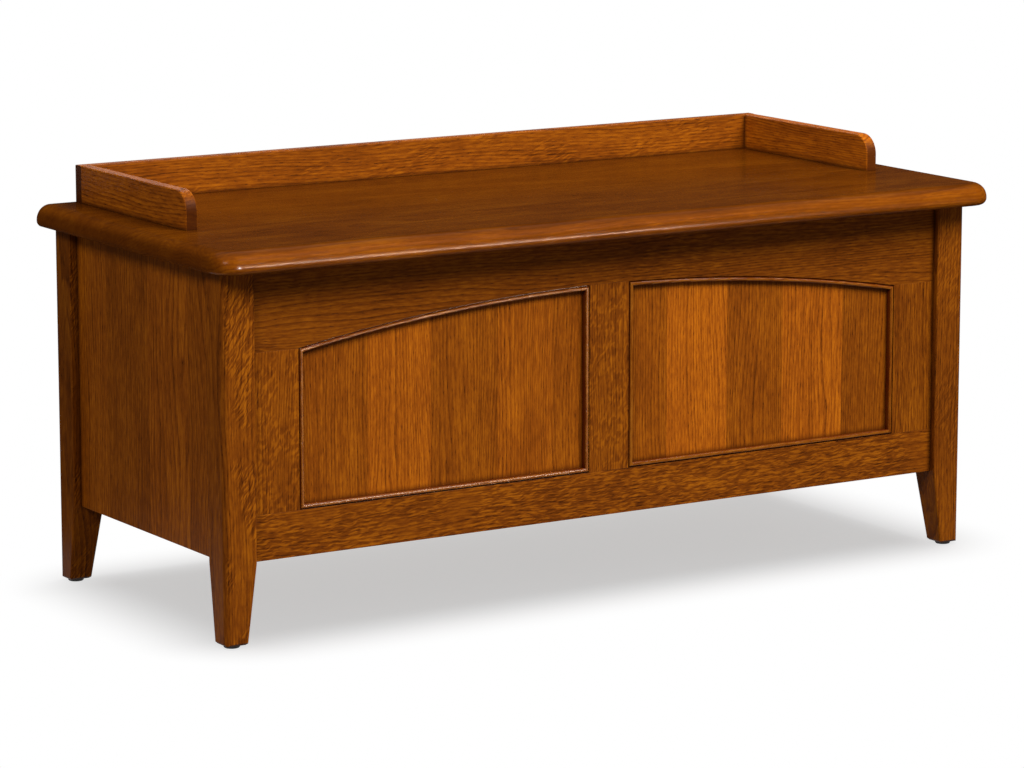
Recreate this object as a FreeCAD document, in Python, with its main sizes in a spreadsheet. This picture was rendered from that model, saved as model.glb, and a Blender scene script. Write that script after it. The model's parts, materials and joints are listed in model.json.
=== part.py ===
import FreeCAD, Part
import Sketcher
import os

# Blanket chest: an oak box on four tapered posts, with a frame-and-panel front under one long arch, a
# solid lid with a low gallery round its back, three butt hinges and two telescoping lid supports.
# Frame: X runs along the chest, -Y is the front, +Z is up. The origin lies on the floor, under the
# middle of the chest with its lid shut. Lengths are in millimetres, angles in degrees.

DRIVING_SIZES = {
    # Carcass
    "chest_width": 1052,  # across the outer faces of the posts
    "chest_depth": 427,  # over the front and rear faces of the posts
    "lid_height": 436,  # floor to the underside of the lid
    "lid_gap": 0.5,  # between the tops of the posts and the lid
    "post_section": 41,
    "foot_section": 28.5,  # what the two inner tapers leave at the foot
    "leg_height": 97,  # floor to the bottom edges of rails and side panels
    "post_edge_radius": 2,
    "post_corner_radius": 8,  # of the upright corner that each post turns outwards
    "foot_bevel": 2.5,
    "glide_height": 3.5,
    "glide_diameter": 19,
    "glide_bevel": 1,
    "joint_fit": 0.15,  # clearance on each face of a glued joint or a screw hole
    "tongue_length": 8,
    "tongue_thickness": 8,
    # Front frame
    "front_recess": 9,  # from the posts' front faces back to the frame
    "front_thickness": 20,
    "stile_width": 61,
    "centre_stile_width": 56,
    "bottom_rail_height": 54,
    "top_rail_height": 57.5,  # at the crown of the arch
    "arch_rise": 39,
    "bead_width": 6,
    "bead_quirk_width": 1.2,  # flat strip between the frame and the round of the bead
    "bead_quirk_depth": 2.5,  # how far that strip lies below the frame's face
    "bead_proud": 1.2,  # how far the round stands above the frame's face
    "bead_nose_radius": 1.8,
    # Ends, back and floor
    "side_recess": 11,
    "side_thickness": 19,
    "back_thickness": 19,
    "back_top_rail_height": 61,
    "back_bottom_rail_height": 57,
    "cleat_section": 19,
    "floor_thickness": 10,
    "floor_fit": 0.5,
    # Lid and gallery
    "lid_thickness": 27,
    "lid_front_overhang": 36,
    "lid_side_overhang": 22,
    "lid_corner_radius": 32,
    "lid_top_radius": 18,
    "lid_bottom_radius": 8,
    "gallery_height": 45,
    "gallery_thickness": 15,
    "gallery_inset": 53,  # from the ends of the lid
    "gallery_length": 284,  # of the two returns, with the back rail's thickness
    "gallery_corner_radius": 25,
    "gallery_edge_radius": 2,
    # Hinges
    "hinge_inset": 155,  # from a rear post to the middle of the nearest hinge
    "hinge_length": 76,
    "leaf_width": 22,  # from the pin's axis to the leaf's inner edge
    "leaf_thickness": 2,
    "knuckle_gap": 0.3,
    "barrel_diameter": 8,
    "barrel_gap": 0.5,  # between the barrel and the rear faces
    "pin_diameter": 3.4,
    "pin_head_diameter": 6,
    "pin_head_length": 2,
    "leaf_hole_inset": 8,  # from the leaf's inner edge
    "leaf_hole_spacing": 26,
    "screw_diameter": 3.4,
    "screw_head_diameter": 6.8,
    "screw_head_depth": 1.7,
    "screw_length": 16,
    # Lid supports
    "support_arm": 160,  # from the hinge axis to either pivot of a support
    "support_drop": 12,  # from the hinge axis down to the lid pivot, lid shut
    "tube_diameter": 13,
    "tube_bore": 11,
    "tube_wall": 4,  # floor of the tube and guide bush at its mouth
    "rod_diameter": 6,
    "rod_fit": 0.3,  # all round the rod and its piston
    "piston_length": 6,
    "shut_clearance": 3,  # between the tube's mouth and the rod's eye, lid shut
    "stroke_clearance": 8,  # between the piston and the tube's floor, lid shut
    "eye_diameter": 15,
    "eye_thickness": 7,
    "eye_neck_length": 11,  # from the pivot to where tube or rod begins
    "eye_neck_diameter": 8,
    "eye_play": 0.3,
    "stud_diameter": 7.4,
    "stud_collar_length": 6,  # keeps the tube clear of the screw heads
    "stud_collar_diameter": 11,
    "stud_head_length": 2,
    "bracket_thickness": 2,
    "bracket_width": 14,
    "bracket_length": 50,
    "bracket_hole_spacing": 36,
    "pan_head_diameter": 7.5,
    "pan_head_height": 2.2,
}

HINGE_NAMES = ("left", "centre", "right")
HINGE_COUNT = len(HINGE_NAMES)
KNUCKLE_COUNT = 5
LEAF_HOLE_COUNT = 3
BRACKET_HOLE_COUNT = 2
LEFT, RIGHT = -1, 1
FRONT, REAR = -1, 1
SIDE_NAMES = {LEFT: "left", RIGHT: "right"}
END_NAMES = {FRONT: "front", REAR: "rear"}
COUNTERSINK_ANGLE = 90
POST_EDGE_SLENDERNESS = 4  # an upright edge rises at least this many times as far as it leans
SAME_PLACE = 0.01


# ---------------------------------------------------------------------------------------------------
# Expressions: sizes worked out from the sheet, kept as text that the document itself evaluates
# ---------------------------------------------------------------------------------------------------

class Size:
    """A length or an angle written in terms of the sheet's cells."""

    def __init__(self, text):
        self.text = str(text)

    def __add__(self, other):
        return Size(f"({self.text} + {as_text(other)})")

    def __sub__(self, other):
        return Size(f"({self.text} - {as_text(other)})")

    def __mul__(self, other):
        return Size(f"({self.text} * {as_text(other)})")

    def __rmul__(self, other):
        return self * other

    def __truediv__(self, other):
        return Size(f"({self.text} / {as_text(other)})")

    def __neg__(self):
        return Size(f"(0 - {self.text})")


class SheetSizes:
    """Reads a driving size as a term of an expression: sizes.chest_width."""

    def __getattr__(self, alias):
        if alias not in DRIVING_SIZES:
            raise AttributeError(alias)
        return Size(f"Sizes.{alias}")


def as_text(size):
    """A size or a plain number as a term of an expression."""
    return size.text if isinstance(size, Size) else str(size)


def square_root(size):
    return Size(f"sqrt({as_text(size)})")


def square(size):
    return size * size


def arc_cosine(size):
    return Size(f"acos({as_text(size)})")


def arc_sine(size):
    return Size(f"asin({as_text(size)})")


def sine(size):
    return Size(f"sin({as_text(size)})")


def spread(count, spacing):
    """Offsets of so many places, equally spaced about zero."""
    return [spacing * (index - (count - 1) / 2) for index in range(count)]


def make_sheet():
    """One row for each driving size: its name, and its value in the cell that carries the alias."""
    new_sheet = document.addObject("Spreadsheet::Sheet", "Sizes")
    for row, (alias, value) in enumerate(DRIVING_SIZES.items(), start=1):
        new_sheet.set(f"A{row}", alias)
        new_sheet.set(f"B{row}", str(value))
        new_sheet.setAlias(f"B{row}", alias)
    document.recompute()
    return new_sheet


def number(size):
    """The present value of a size, for starting geometry and for picking edges."""
    result = sheet.evalExpression(as_text(size))
    return float(getattr(result, "Value", result))


def bind(item, path, size):
    """Lets a property follow an expression."""
    item.setExpression(path, as_text(size))


document = FreeCAD.newDocument("BlanketChest")
sheet = make_sheet()
sizes = SheetSizes()


# ---------------------------------------------------------------------------------------------------
# Derived places
# ---------------------------------------------------------------------------------------------------

half_width = sizes.chest_width / 2
half_depth = sizes.chest_depth / 2
barrel_radius = sizes.barrel_diameter / 2
hinge_projection = sizes.barrel_gap + sizes.barrel_diameter
carcass_centre = (sizes.lid_front_overhang - hinge_projection) / 2
front_face = carcass_centre - half_depth
rear_face = carcass_centre + half_depth
carcass_top = sizes.lid_height - sizes.lid_gap
fit = sizes.joint_fit
groove_depth = sizes.tongue_length + fit
groove_width = sizes.tongue_thickness + 2 * fit

# Front frame, between the posts
between_posts = half_width - sizes.post_section
frame_front = front_face + sizes.front_recess
frame_rear = frame_front + sizes.front_thickness
frame_middle = frame_front + sizes.front_thickness / 2
front_tongue_face = frame_middle - sizes.tongue_thickness / 2
front_groove_face = frame_middle - groove_width / 2
opening_half_width = between_posts - sizes.stile_width
opening_bottom = sizes.leg_height + sizes.bottom_rail_height
arch_crown = carcass_top - sizes.top_rail_height
arch_spring = arch_crown - sizes.arch_rise
arch_radius = (square(opening_half_width) + square(sizes.arch_rise)) / (2 * sizes.arch_rise)
centre_half = sizes.centre_stile_width / 2

# Ends, back and floor
side_outer = half_width - sizes.side_recess
side_inner = side_outer - sizes.side_thickness
side_middle = side_outer - sizes.side_thickness / 2
front_post_inner = front_face + sizes.post_section
rear_post_inner = rear_face - sizes.post_section
back_inner = rear_face - sizes.back_thickness
back_middle = rear_face - sizes.back_thickness / 2
back_tongue_face = back_middle - sizes.tongue_thickness / 2
back_groove_face = back_middle - groove_width / 2
back_top_rail_bottom = carcass_top - sizes.back_top_rail_height
back_bottom_rail_top = sizes.leg_height + sizes.back_bottom_rail_height
floor_underside = sizes.leg_height + sizes.cleat_section

# Lid and gallery
lid_half_length = half_width + sizes.lid_side_overhang
lid_front = front_face - sizes.lid_front_overhang
lid_top = sizes.lid_height + sizes.lid_thickness
gallery_outer = lid_half_length - sizes.gallery_inset
gallery_top = lid_top + sizes.gallery_height
gallery_back_inner = rear_face - sizes.gallery_thickness
gallery_front = rear_face - sizes.gallery_length

# Hinges
hinge_axis_y = rear_face + sizes.barrel_gap + barrel_radius
hinge_axis_z = sizes.lid_height - sizes.lid_gap / 2
leaf_inner_edge = hinge_axis_y - sizes.leaf_width
leaf_hole_line = leaf_inner_edge + sizes.leaf_hole_inset
knuckle_length = sizes.hinge_length / KNUCKLE_COUNT
bore_diameter = sizes.pin_diameter + 2 * fit
screw_hole_diameter = sizes.screw_diameter + 2 * fit
screw_hole_depth = sizes.screw_length + sizes.leaf_thickness
hinge_spacing = 2 * (between_posts - sizes.hinge_inset) / (HINGE_COUNT - 1)
hinge_centres = spread(HINGE_COUNT, hinge_spacing)
leaf_hole_offsets = spread(LEAF_HOLE_COUNT, sizes.leaf_hole_spacing)

# Lid supports: both pivots lie at the same distance from the hinge axis, so a support turns by exactly
# half the angle of the lid while it lengthens
box_pivot_y = rear_post_inner + sizes.bracket_width / 2 + fit
box_pivot_inset = hinge_axis_y - box_pivot_y
box_pivot_z = hinge_axis_z - square_root(square(sizes.support_arm) - square(box_pivot_inset))
lid_pivot_y = hinge_axis_y - square_root(square(sizes.support_arm) - square(sizes.support_drop))
lid_pivot_z = hinge_axis_z - sizes.support_drop
box_arm_angle = arc_cosine(box_pivot_inset / sizes.support_arm)
lid_arm_angle = arc_sine(sizes.support_drop / sizes.support_arm)
support_tilt = (box_arm_angle + lid_arm_angle) / 2
shut_length = 2 * sizes.support_arm * sine((box_arm_angle - lid_arm_angle) / 2)
tube_length = shut_length - 2 * sizes.eye_neck_length - sizes.shut_clearance
rod_reach = shut_length - sizes.eye_neck_length - sizes.tube_wall - sizes.stroke_clearance
eye_near_face = between_posts - sizes.bracket_thickness - sizes.stud_collar_length - sizes.eye_play
support_plane = eye_near_face - sizes.eye_thickness / 2
bracket_face = between_posts - sizes.bracket_thickness
bracket_hole_offsets = spread(BRACKET_HOLE_COUNT, sizes.bracket_hole_spacing)
lid_bracket_hole_line = bracket_face - sizes.bracket_width / 2


# ---------------------------------------------------------------------------------------------------
# Sketches and features
# ---------------------------------------------------------------------------------------------------

class Loop:
    """A closed outline. Corners are pairs of sizes. An arc replaces the edge that leaves a corner:
    arcs maps that corner's index to a radius and to the side on which the arc swells, 1 for the
    left of the direction of travel and -1 for the right."""

    def __init__(self, corners, arcs=None):
        self.corners = corners
        self.arcs = arcs or {}

    def draw(self, sketch, prefix):
        points = [FreeCAD.Vector(number(u), number(v), 0) for u, v in self.corners]
        first = sketch.GeometryCount
        count = len(points)
        ends = []
        for index, start in enumerate(points):
            end = points[(index + 1) % count]
            if index in self.arcs:
                ends.append(add_arc(sketch, start, end, *self.arcs[index]))
            else:
                sketch.addGeometry(Part.LineSegment(start, end), False)
                ends.append((1, 2))
        constraints = []
        for index in range(count):
            following = (index + 1) % count
            constraints.append(Sketcher.Constraint(
                "Coincident", first + index, ends[index][1], first + following, ends[following][0]))
        sketch.addConstraint(constraints)
        for index, (u, v) in enumerate(self.corners):
            place = (-1, 1, first + index, ends[index][0])
            add_dimension(sketch, f"{prefix}_across_{index}", "DistanceX", place, u)
            add_dimension(sketch, f"{prefix}_up_{index}", "DistanceY", place, v)
        for index, (radius, _side) in self.arcs.items():
            add_dimension(sketch, f"{prefix}_radius_{index}", "Radius", (first + index,), radius)


class Ring:
    """A circle with its centre held by two distances."""

    def __init__(self, across, up, diameter):
        self.across = across
        self.up = up
        self.diameter = diameter

    def draw(self, sketch, prefix):
        centre = FreeCAD.Vector(number(self.across), number(self.up), 0)
        circle = Part.Circle(centre, FreeCAD.Vector(0, 0, 1), number(self.diameter) / 2)
        index = sketch.addGeometry(circle, False)
        add_dimension(sketch, f"{prefix}_across", "DistanceX", (-1, 1, index, 3), self.across)
        add_dimension(sketch, f"{prefix}_up", "DistanceY", (-1, 1, index, 3), self.up)
        add_dimension(sketch, f"{prefix}_diameter", "Diameter", (index,), self.diameter)


def add_arc(sketch, start, end, radius, side):
    """Adds an arc and returns which of its ends is its start and which its finish. Every arc is drawn
    counter-clockwise, which is how one that swells to the right is travelled."""
    chord = end - start
    half_chord = chord.Length / 2
    reach = number(radius)
    left = FreeCAD.Vector(-chord.y, chord.x, 0).normalize()
    centre = (start + end) / 2 - left * (side * max(reach * reach - half_chord * half_chord, 0) ** 0.5)
    circle = Part.Circle(centre, FreeCAD.Vector(0, 0, 1), reach)
    first, last = (end, start) if side > 0 else (start, end)
    sketch.addGeometry(Part.ArcOfCircle(circle, circle.parameter(first), circle.parameter(last)), False)
    return (2, 1) if side > 0 else (1, 2)


def add_dimension(sketch, name, kind, where, size):
    """Adds a named constraint that follows an expression."""
    index = sketch.addConstraint(Sketcher.Constraint(kind, *where, number(size)))
    sketch.renameConstraint(index, name)
    bind(sketch, f"Constraints.{name}", size)


def rectangle(across_from, across_to, up_from, up_to):
    """A square-cornered loop between two sizes each way."""
    return Loop([(across_from, up_from), (across_to, up_from), (across_to, up_to), (across_from, up_to)])


def new_body(label, several_solids=False):
    """Starts a piece. Only a group of equal fasteners holds several solids."""
    body = document.addObject("PartDesign::Body", label)
    body.Label = label
    body.AllowCompound = several_solids
    return body


def origin_feature(body, role):
    """A base plane or axis of a body, found by its role."""
    return next(item for item in body.Origin.OriginFeatures if item.Role == role)


def new_sketch(body, name, plane, loops, offset):
    """Draws loops on a base plane, moved along the plane's normal by offset."""
    sketch = body.newObject("Sketcher::SketchObject", f"{body.Name}_{name}_sketch")
    sketch.AttachmentSupport = [(origin_feature(body, plane), "")]
    sketch.MapMode = "FlatFace"
    bind(sketch, "AttachmentOffset.Base.z", offset)
    for index, loop in enumerate(loops):
        loop.draw(sketch, f"loop{index}")
    return sketch


def add_slab(body, name, plane, loops, start, thickness):
    """Pads the loops from start over thickness, along +X, +Y or +Z, whichever the plane faces."""
    offset = -(start + thickness) if plane == "XZ_Plane" else start
    feature = body.newObject("PartDesign::Pad", f"{body.Name}_{name}")
    feature.Profile = new_sketch(body, name, plane, loops, offset)
    bind(feature, "Length", thickness)
    body.Tip = feature
    return feature


def cut_slab(body, name, plane, loops, start, thickness):
    """Pockets the loops over the same stretch that add_slab would fill."""
    offset = -start if plane == "XZ_Plane" else start + thickness
    feature = body.newObject("PartDesign::Pocket", f"{body.Name}_{name}")
    feature.Profile = new_sketch(body, name, plane, loops, offset)
    feature.Type = "Length"
    bind(feature, "Length", thickness)
    body.Tip = feature
    return feature


def revolve(body, name, outline, axis):
    """Turns a half section, drawn in the plane that faces front, once round an axis."""
    feature = body.newObject("PartDesign::Revolution", f"{body.Name}_{name}")
    feature.Profile = new_sketch(body, name, "XZ_Plane", [outline], Size(0))
    feature.ReferenceAxis = (origin_feature(body, axis), [""])
    feature.Angle = 360
    body.Tip = feature
    return feature


def repeat_along(body, name, original, axis, rows):
    """Copies a feature along an axis. Each row is a count and a spacing, and repeats the one before."""
    document.recompute()
    pattern = body.newObject("PartDesign::MultiTransform", f"{body.Name}_{name}")
    pattern.Originals = [original]
    steps = []
    for index, (count, spacing) in enumerate(rows):
        step = body.newObject("PartDesign::LinearPattern", f"{body.Name}_{name}_{index}")
        step.Direction = (origin_feature(body, axis), [""])
        step.Mode = "Spacing"
        step.Occurrences = count
        bind(step, "Offset", spacing)
        steps.append(step)
    pattern.Transformations = steps
    body.Tip = pattern
    return pattern


def dress_edges(body, name, kind, dimension, size, keep):
    """Adds a fillet or a chamfer on those edges of the body's latest feature that keep() picks."""
    document.recompute()
    base = body.Tip
    edges = [f"Edge{index}" for index, edge in enumerate(base.Shape.Edges, start=1) if keep(edge)]
    feature = body.newObject(f"PartDesign::{kind}", f"{body.Name}_{name}")
    feature.Base = (base, edges)
    bind(feature, dimension, size)
    body.Tip = feature
    return feature


def round_edges(body, name, radius, keep):
    """Fillets the edges that keep() picks."""
    return dress_edges(body, name, "Fillet", "Radius", radius, keep)


def bevel_edges(body, name, width, keep):
    """Chamfers the edges that keep() picks."""
    return dress_edges(body, name, "Chamfer", "Size", width, keep)


def place(item, x=Size(0), y=Size(0), z=Size(0)):
    """Moves a piece to a place given in sizes."""
    for axis, size in (("x", x), ("y", y), ("z", z)):
        bind(item, f"Placement.Base.{axis}", size)


def lies_at(edge, x=None, y=None, z=None):
    """Tells whether all of an edge lies at the given coordinates."""
    box = edge.BoundBox
    wanted = ((x, box.XMin, box.XMax), (y, box.YMin, box.YMax), (z, box.ZMin, box.ZMax))
    return all(
        at is None or max(abs(low - number(at)), abs(high - number(at))) < SAME_PLACE
        for at, low, high in wanted)


# ---------------------------------------------------------------------------------------------------
# Carcass
# ---------------------------------------------------------------------------------------------------

def make_post(side, end):
    """A square post, tapered below the rails on its two inner faces, with its outward corner well
    rounded, its foot bevelled and grooves for its neighbours."""
    body = new_body(f"post_{END_NAMES[end]}_{SIDE_NAMES[side]}")
    outer_x = side * half_width
    inner_x = side * between_posts
    foot_x = side * (half_width - sizes.foot_section)
    outer_y = carcass_centre + end * half_depth
    inner_y = carcass_centre + end * (half_depth - sizes.post_section)
    foot_y = carcass_centre + end * (half_depth - sizes.foot_section)
    bottom = sizes.glide_height
    height = carcass_top - bottom
    low_x, high_x = (inner_x, outer_x) if side == RIGHT else (outer_x, inner_x)
    low_y, high_y = (inner_y, outer_y) if end == REAR else (outer_y, inner_y)
    add_slab(body, "block", "XY_Plane", [rectangle(low_x, high_x, low_y, high_y)], bottom, height)
    taper_x = Loop([(inner_x, sizes.leg_height), (inner_x, bottom), (foot_x, bottom)])
    taper_y = Loop([(inner_y, sizes.leg_height), (inner_y, bottom), (foot_y, bottom)])
    cut_slab(body, "taper_across", "XZ_Plane", [taper_x], low_y, sizes.post_section)
    cut_slab(body, "taper_deep", "YZ_Plane", [taper_y], low_x, sizes.post_section)
    bevel_edges(body, "foot_bevel", sizes.foot_bevel, lambda edge: lies_at(edge, z=bottom))
    round_edges(body, "eased_edges", sizes.post_edge_radius, lambda edge: (
        is_upright(edge) and not lies_at(edge, x=outer_x, y=outer_y)))
    round_edges(body, "outward_corner", sizes.post_corner_radius,
                lambda edge: lies_at(edge, x=outer_x, y=outer_y))
    frame_line = frame_middle if end == FRONT else back_middle
    frame_groove = rectangle(
        inner_x, inner_x + side * groove_depth, frame_line - groove_width / 2, frame_line + groove_width / 2)
    side_groove = rectangle(
        side * side_middle - groove_width / 2, side * side_middle + groove_width / 2,
        inner_y, inner_y + end * groove_depth)
    groove_height = carcass_top - sizes.leg_height
    cut_slab(body, "grooves", "XY_Plane", [frame_groove, side_groove], sizes.leg_height, groove_height)
    return body


def is_upright(edge):
    """Long edges that run up the post, straight or along a taper."""
    box = edge.BoundBox
    lean = max(box.XLength, box.YLength)
    return box.ZLength > max(number(sizes.post_section), POST_EDGE_SLENDERNESS * lean)


def arch_height(across, lift=Size(0)):
    """Height of the arch at a distance from the middle of the chest."""
    return arch_crown + lift - arch_radius + square_root(square(arch_radius) - square(across))


def end_tongues(low, high):
    """The two tongues of a rail that enter the posts."""
    return [
        rectangle(between_posts, between_posts + sizes.tongue_length, low, high),
        rectangle(-(between_posts + sizes.tongue_length), -between_posts, low, high),
    ]


def make_front_top_rail():
    """The rail over both panels: one arch across its lower edge, with the stiles housed below its ends."""
    body = new_body("front_top_rail")
    outline = Loop([
        (-between_posts, arch_spring), (-opening_half_width, arch_spring),
        (opening_half_width, arch_spring), (between_posts, arch_spring),
        (between_posts, carcass_top), (-between_posts, carcass_top),
    ], {1: (arch_radius, 1)})
    add_slab(body, "rail", "XZ_Plane", [outline], frame_front, sizes.front_thickness)
    add_slab(body, "tongues", "XZ_Plane", end_tongues(arch_spring, carcass_top),
             front_tongue_face, sizes.tongue_thickness)
    groove = Loop([
        (-between_posts, arch_spring), (-opening_half_width, arch_spring),
        (opening_half_width, arch_spring), (between_posts, arch_spring),
        (between_posts, arch_spring + groove_depth), (opening_half_width, arch_spring + groove_depth),
        (-opening_half_width, arch_spring + groove_depth), (-between_posts, arch_spring + groove_depth),
    ], {1: (arch_radius, 1), 5: (arch_radius, -1)})
    cut_slab(body, "groove", "XZ_Plane", [groove], front_groove_face, groove_width)
    return body


def make_front_bottom_rail():
    """The rail below both panels, full width, grooved along its top for stiles and panels."""
    body = new_body("front_bottom_rail")
    outline = rectangle(-between_posts, between_posts, sizes.leg_height, opening_bottom)
    add_slab(body, "rail", "XZ_Plane", [outline], frame_front, sizes.front_thickness)
    add_slab(body, "tongues", "XZ_Plane", end_tongues(sizes.leg_height, opening_bottom),
             front_tongue_face, sizes.tongue_thickness)
    groove = rectangle(-between_posts, between_posts, opening_bottom - groove_depth, opening_bottom)
    cut_slab(body, "groove", "XZ_Plane", [groove], front_groove_face, groove_width)
    return body


def make_front_stile(side):
    """An outer stile: tongued into its post, with stub tenons in both rails and a groove for the panel."""
    body = new_body(f"front_stile_{SIDE_NAMES[side]}")
    inner = side * opening_half_width
    outer = side * between_posts
    add_slab(body, "stile", "XZ_Plane", [rectangle(inner, outer, opening_bottom, arch_spring)],
             frame_front, sizes.front_thickness)
    post_tongue = rectangle(outer, outer + side * sizes.tongue_length, opening_bottom, arch_spring)
    tenon_inner = inner + side * groove_depth
    lower_tenon = rectangle(tenon_inner, outer, opening_bottom - sizes.tongue_length, opening_bottom)
    upper_tenon = rectangle(tenon_inner, outer, arch_spring, arch_spring + sizes.tongue_length)
    add_slab(body, "tongues", "XZ_Plane", [post_tongue, lower_tenon, upper_tenon],
             front_tongue_face, sizes.tongue_thickness)
    groove = rectangle(inner, tenon_inner, opening_bottom, arch_spring)
    cut_slab(body, "groove", "XZ_Plane", [groove], front_groove_face, groove_width)
    return body


def make_front_centre_stile():
    """The stile between the panels: its head is cut to the arch."""
    body = new_body("front_centre_stile")
    shoulder = arch_height(centre_half)
    outline = Loop([
        (-centre_half, opening_bottom), (centre_half, opening_bottom),
        (centre_half, shoulder), (-centre_half, shoulder),
    ], {2: (arch_radius, -1)})
    add_slab(body, "stile", "XZ_Plane", [outline], frame_front, sizes.front_thickness)
    tenon_half = centre_half - groove_depth
    tenons = [
        rectangle(-tenon_half, tenon_half, opening_bottom - sizes.tongue_length, opening_bottom),
        rectangle(-tenon_half, tenon_half, shoulder, shoulder + sizes.tongue_length),
    ]
    add_slab(body, "tenons", "XZ_Plane", tenons, front_tongue_face, sizes.tongue_thickness)
    grooves = [
        rectangle(side * tenon_half, side * centre_half, opening_bottom, arch_crown)
        for side in (LEFT, RIGHT)
    ]
    cut_slab(body, "grooves", "XZ_Plane", grooves, front_groove_face, groove_width)
    return body


def make_front_panel(side):
    """A flat panel glued up from upright boards, its top cut to the arch, held in the frame's grooves."""
    body = new_body(f"front_panel_{SIDE_NAMES[side]}")
    inner = centre_half - sizes.tongue_length
    outer = opening_half_width + sizes.tongue_length
    bottom = opening_bottom - sizes.tongue_length
    outline = Loop([
        (side * inner, bottom), (side * outer, bottom),
        (side * outer, arch_height(outer, sizes.tongue_length)),
        (side * inner, arch_height(inner, sizes.tongue_length)),
    ], {2: (arch_radius, -side)})
    add_slab(body, "board", "XZ_Plane", [outline], front_tongue_face, sizes.tongue_thickness)
    return body


def opening_loop(side, inset):
    """The outline of a panel opening, moved inwards by inset on every edge."""
    inner = centre_half + inset
    outer = opening_half_width - inset
    radius = arch_radius - inset
    crown = arch_crown - inset

    def height(across):
        return crown - radius + square_root(square(radius) - square(across))

    return Loop([
        (side * inner, opening_bottom + inset), (side * outer, opening_bottom + inset),
        (side * outer, height(outer)), (side * inner, height(inner)),
    ], {2: (radius, -side)})


def make_bead_moulding():
    """The mitred moulding planted round the right panel: a flat quirk beside the frame, then a raised
    bead with a rounded nose."""
    body = new_body("bead_moulding_right")
    quirk_face = frame_front + sizes.bead_quirk_depth
    bead_face = frame_front - sizes.bead_proud
    outer = opening_loop(RIGHT, fit)
    middle = opening_loop(RIGHT, sizes.bead_quirk_width)
    inner = opening_loop(RIGHT, sizes.bead_width)
    add_slab(body, "quirk", "XZ_Plane", [outer, inner], quirk_face,
             front_tongue_face - quirk_face)
    add_slab(body, "bead", "XZ_Plane", [middle, inner], bead_face, quirk_face - bead_face)
    for name, inset in (("outer_nose", sizes.bead_quirk_width), ("inner_nose", sizes.bead_width)):
        round_edges(body, name, sizes.bead_nose_radius, lambda edge, by=inset: (
            lies_at(edge, y=bead_face) and reaches_inset(edge, by)))
    return body


def reaches_inset(edge, inset):
    """Tells whether an edge lies on the opening's outline moved inwards by inset."""
    middle = edge.valueAt((edge.FirstParameter + edge.LastParameter) / 2)
    drop = number(arch_crown - inset) - middle.z
    radius = number(arch_radius - inset)
    distances = (
        abs(middle.x) - number(centre_half + inset), number(opening_half_width - inset) - abs(middle.x),
        middle.z - number(opening_bottom + inset),
        drop - (radius - (radius * radius - middle.x * middle.x) ** 0.5))
    return min(abs(distance) for distance in distances) < SAME_PLACE


def make_mirror_image(label, piece):
    """The same piece for the other half of the chest."""
    image = document.addObject("Part::Mirroring", label)
    image.Label = label
    image.Source = piece
    image.Normal = FreeCAD.Vector(1, 0, 0)
    return image


def make_side_panel(side):
    """An end of the chest: upright boards glued up, tongued into both posts."""
    body = new_body(f"side_panel_{SIDE_NAMES[side]}")
    outer = side * side_outer
    inner = side * side_inner
    low = inner if side == RIGHT else outer
    board = rectangle(front_post_inner, rear_post_inner, sizes.leg_height, carcass_top)
    add_slab(body, "board", "YZ_Plane", [board], low, sizes.side_thickness)
    tongues = [
        rectangle(front_post_inner - sizes.tongue_length, front_post_inner, sizes.leg_height, carcass_top),
        rectangle(rear_post_inner, rear_post_inner + sizes.tongue_length, sizes.leg_height, carcass_top),
    ]
    add_slab(body, "tongues", "YZ_Plane", tongues,
             side * side_middle - sizes.tongue_thickness / 2, sizes.tongue_thickness)
    return body


def make_back_top_rail():
    """The rail that carries the hinges, with a mortise for each leaf and a hole for each screw."""
    body = new_body("back_top_rail")
    outline = rectangle(-between_posts, between_posts, back_top_rail_bottom, carcass_top)
    add_slab(body, "rail", "XZ_Plane", [outline], back_inner, sizes.back_thickness)
    add_slab(body, "tongues", "XZ_Plane", end_tongues(back_top_rail_bottom, carcass_top),
             back_tongue_face, sizes.tongue_thickness)
    groove = rectangle(
        -between_posts, between_posts, back_top_rail_bottom, back_top_rail_bottom + groove_depth)
    cut_slab(body, "groove", "XZ_Plane", [groove], back_groove_face, groove_width)
    mortise_depth = sizes.leaf_thickness + fit
    cut_slab(body, "leaf_mortises", "XY_Plane", leaf_mortises(), carcass_top - mortise_depth, mortise_depth)
    cut_slab(body, "screw_holes", "XY_Plane", leaf_screw_rings(hinge_centres),
             carcass_top - screw_hole_depth, screw_hole_depth)
    return body


def make_back_bottom_rail():
    """The lower rail of the back, grooved along its top for the back panel."""
    body = new_body("back_bottom_rail")
    outline = rectangle(-between_posts, between_posts, sizes.leg_height, back_bottom_rail_top)
    add_slab(body, "rail", "XZ_Plane", [outline], back_inner, sizes.back_thickness)
    add_slab(body, "tongues", "XZ_Plane", end_tongues(sizes.leg_height, back_bottom_rail_top),
             back_tongue_face, sizes.tongue_thickness)
    groove = rectangle(
        -between_posts, between_posts, back_bottom_rail_top - groove_depth, back_bottom_rail_top)
    cut_slab(body, "groove", "XZ_Plane", [groove], back_groove_face, groove_width)
    return body


def make_back_panel():
    """A thin board in the grooves of both back rails and of the rear posts."""
    body = new_body("back_panel")
    half_length = between_posts + sizes.tongue_length
    bottom = back_bottom_rail_top - sizes.tongue_length
    top = back_top_rail_bottom + sizes.tongue_length
    lower_corner = back_bottom_rail_top + fit
    upper_corner = back_top_rail_bottom - fit
    outline = Loop([
        (-between_posts, bottom), (between_posts, bottom),
        (between_posts, lower_corner), (half_length, lower_corner),
        (half_length, upper_corner), (between_posts, upper_corner),
        (between_posts, top), (-between_posts, top),
        (-between_posts, upper_corner), (-half_length, upper_corner),
        (-half_length, lower_corner), (-between_posts, lower_corner),
    ])
    add_slab(body, "board", "XZ_Plane", [outline], back_tongue_face, sizes.tongue_thickness)
    return body


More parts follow.
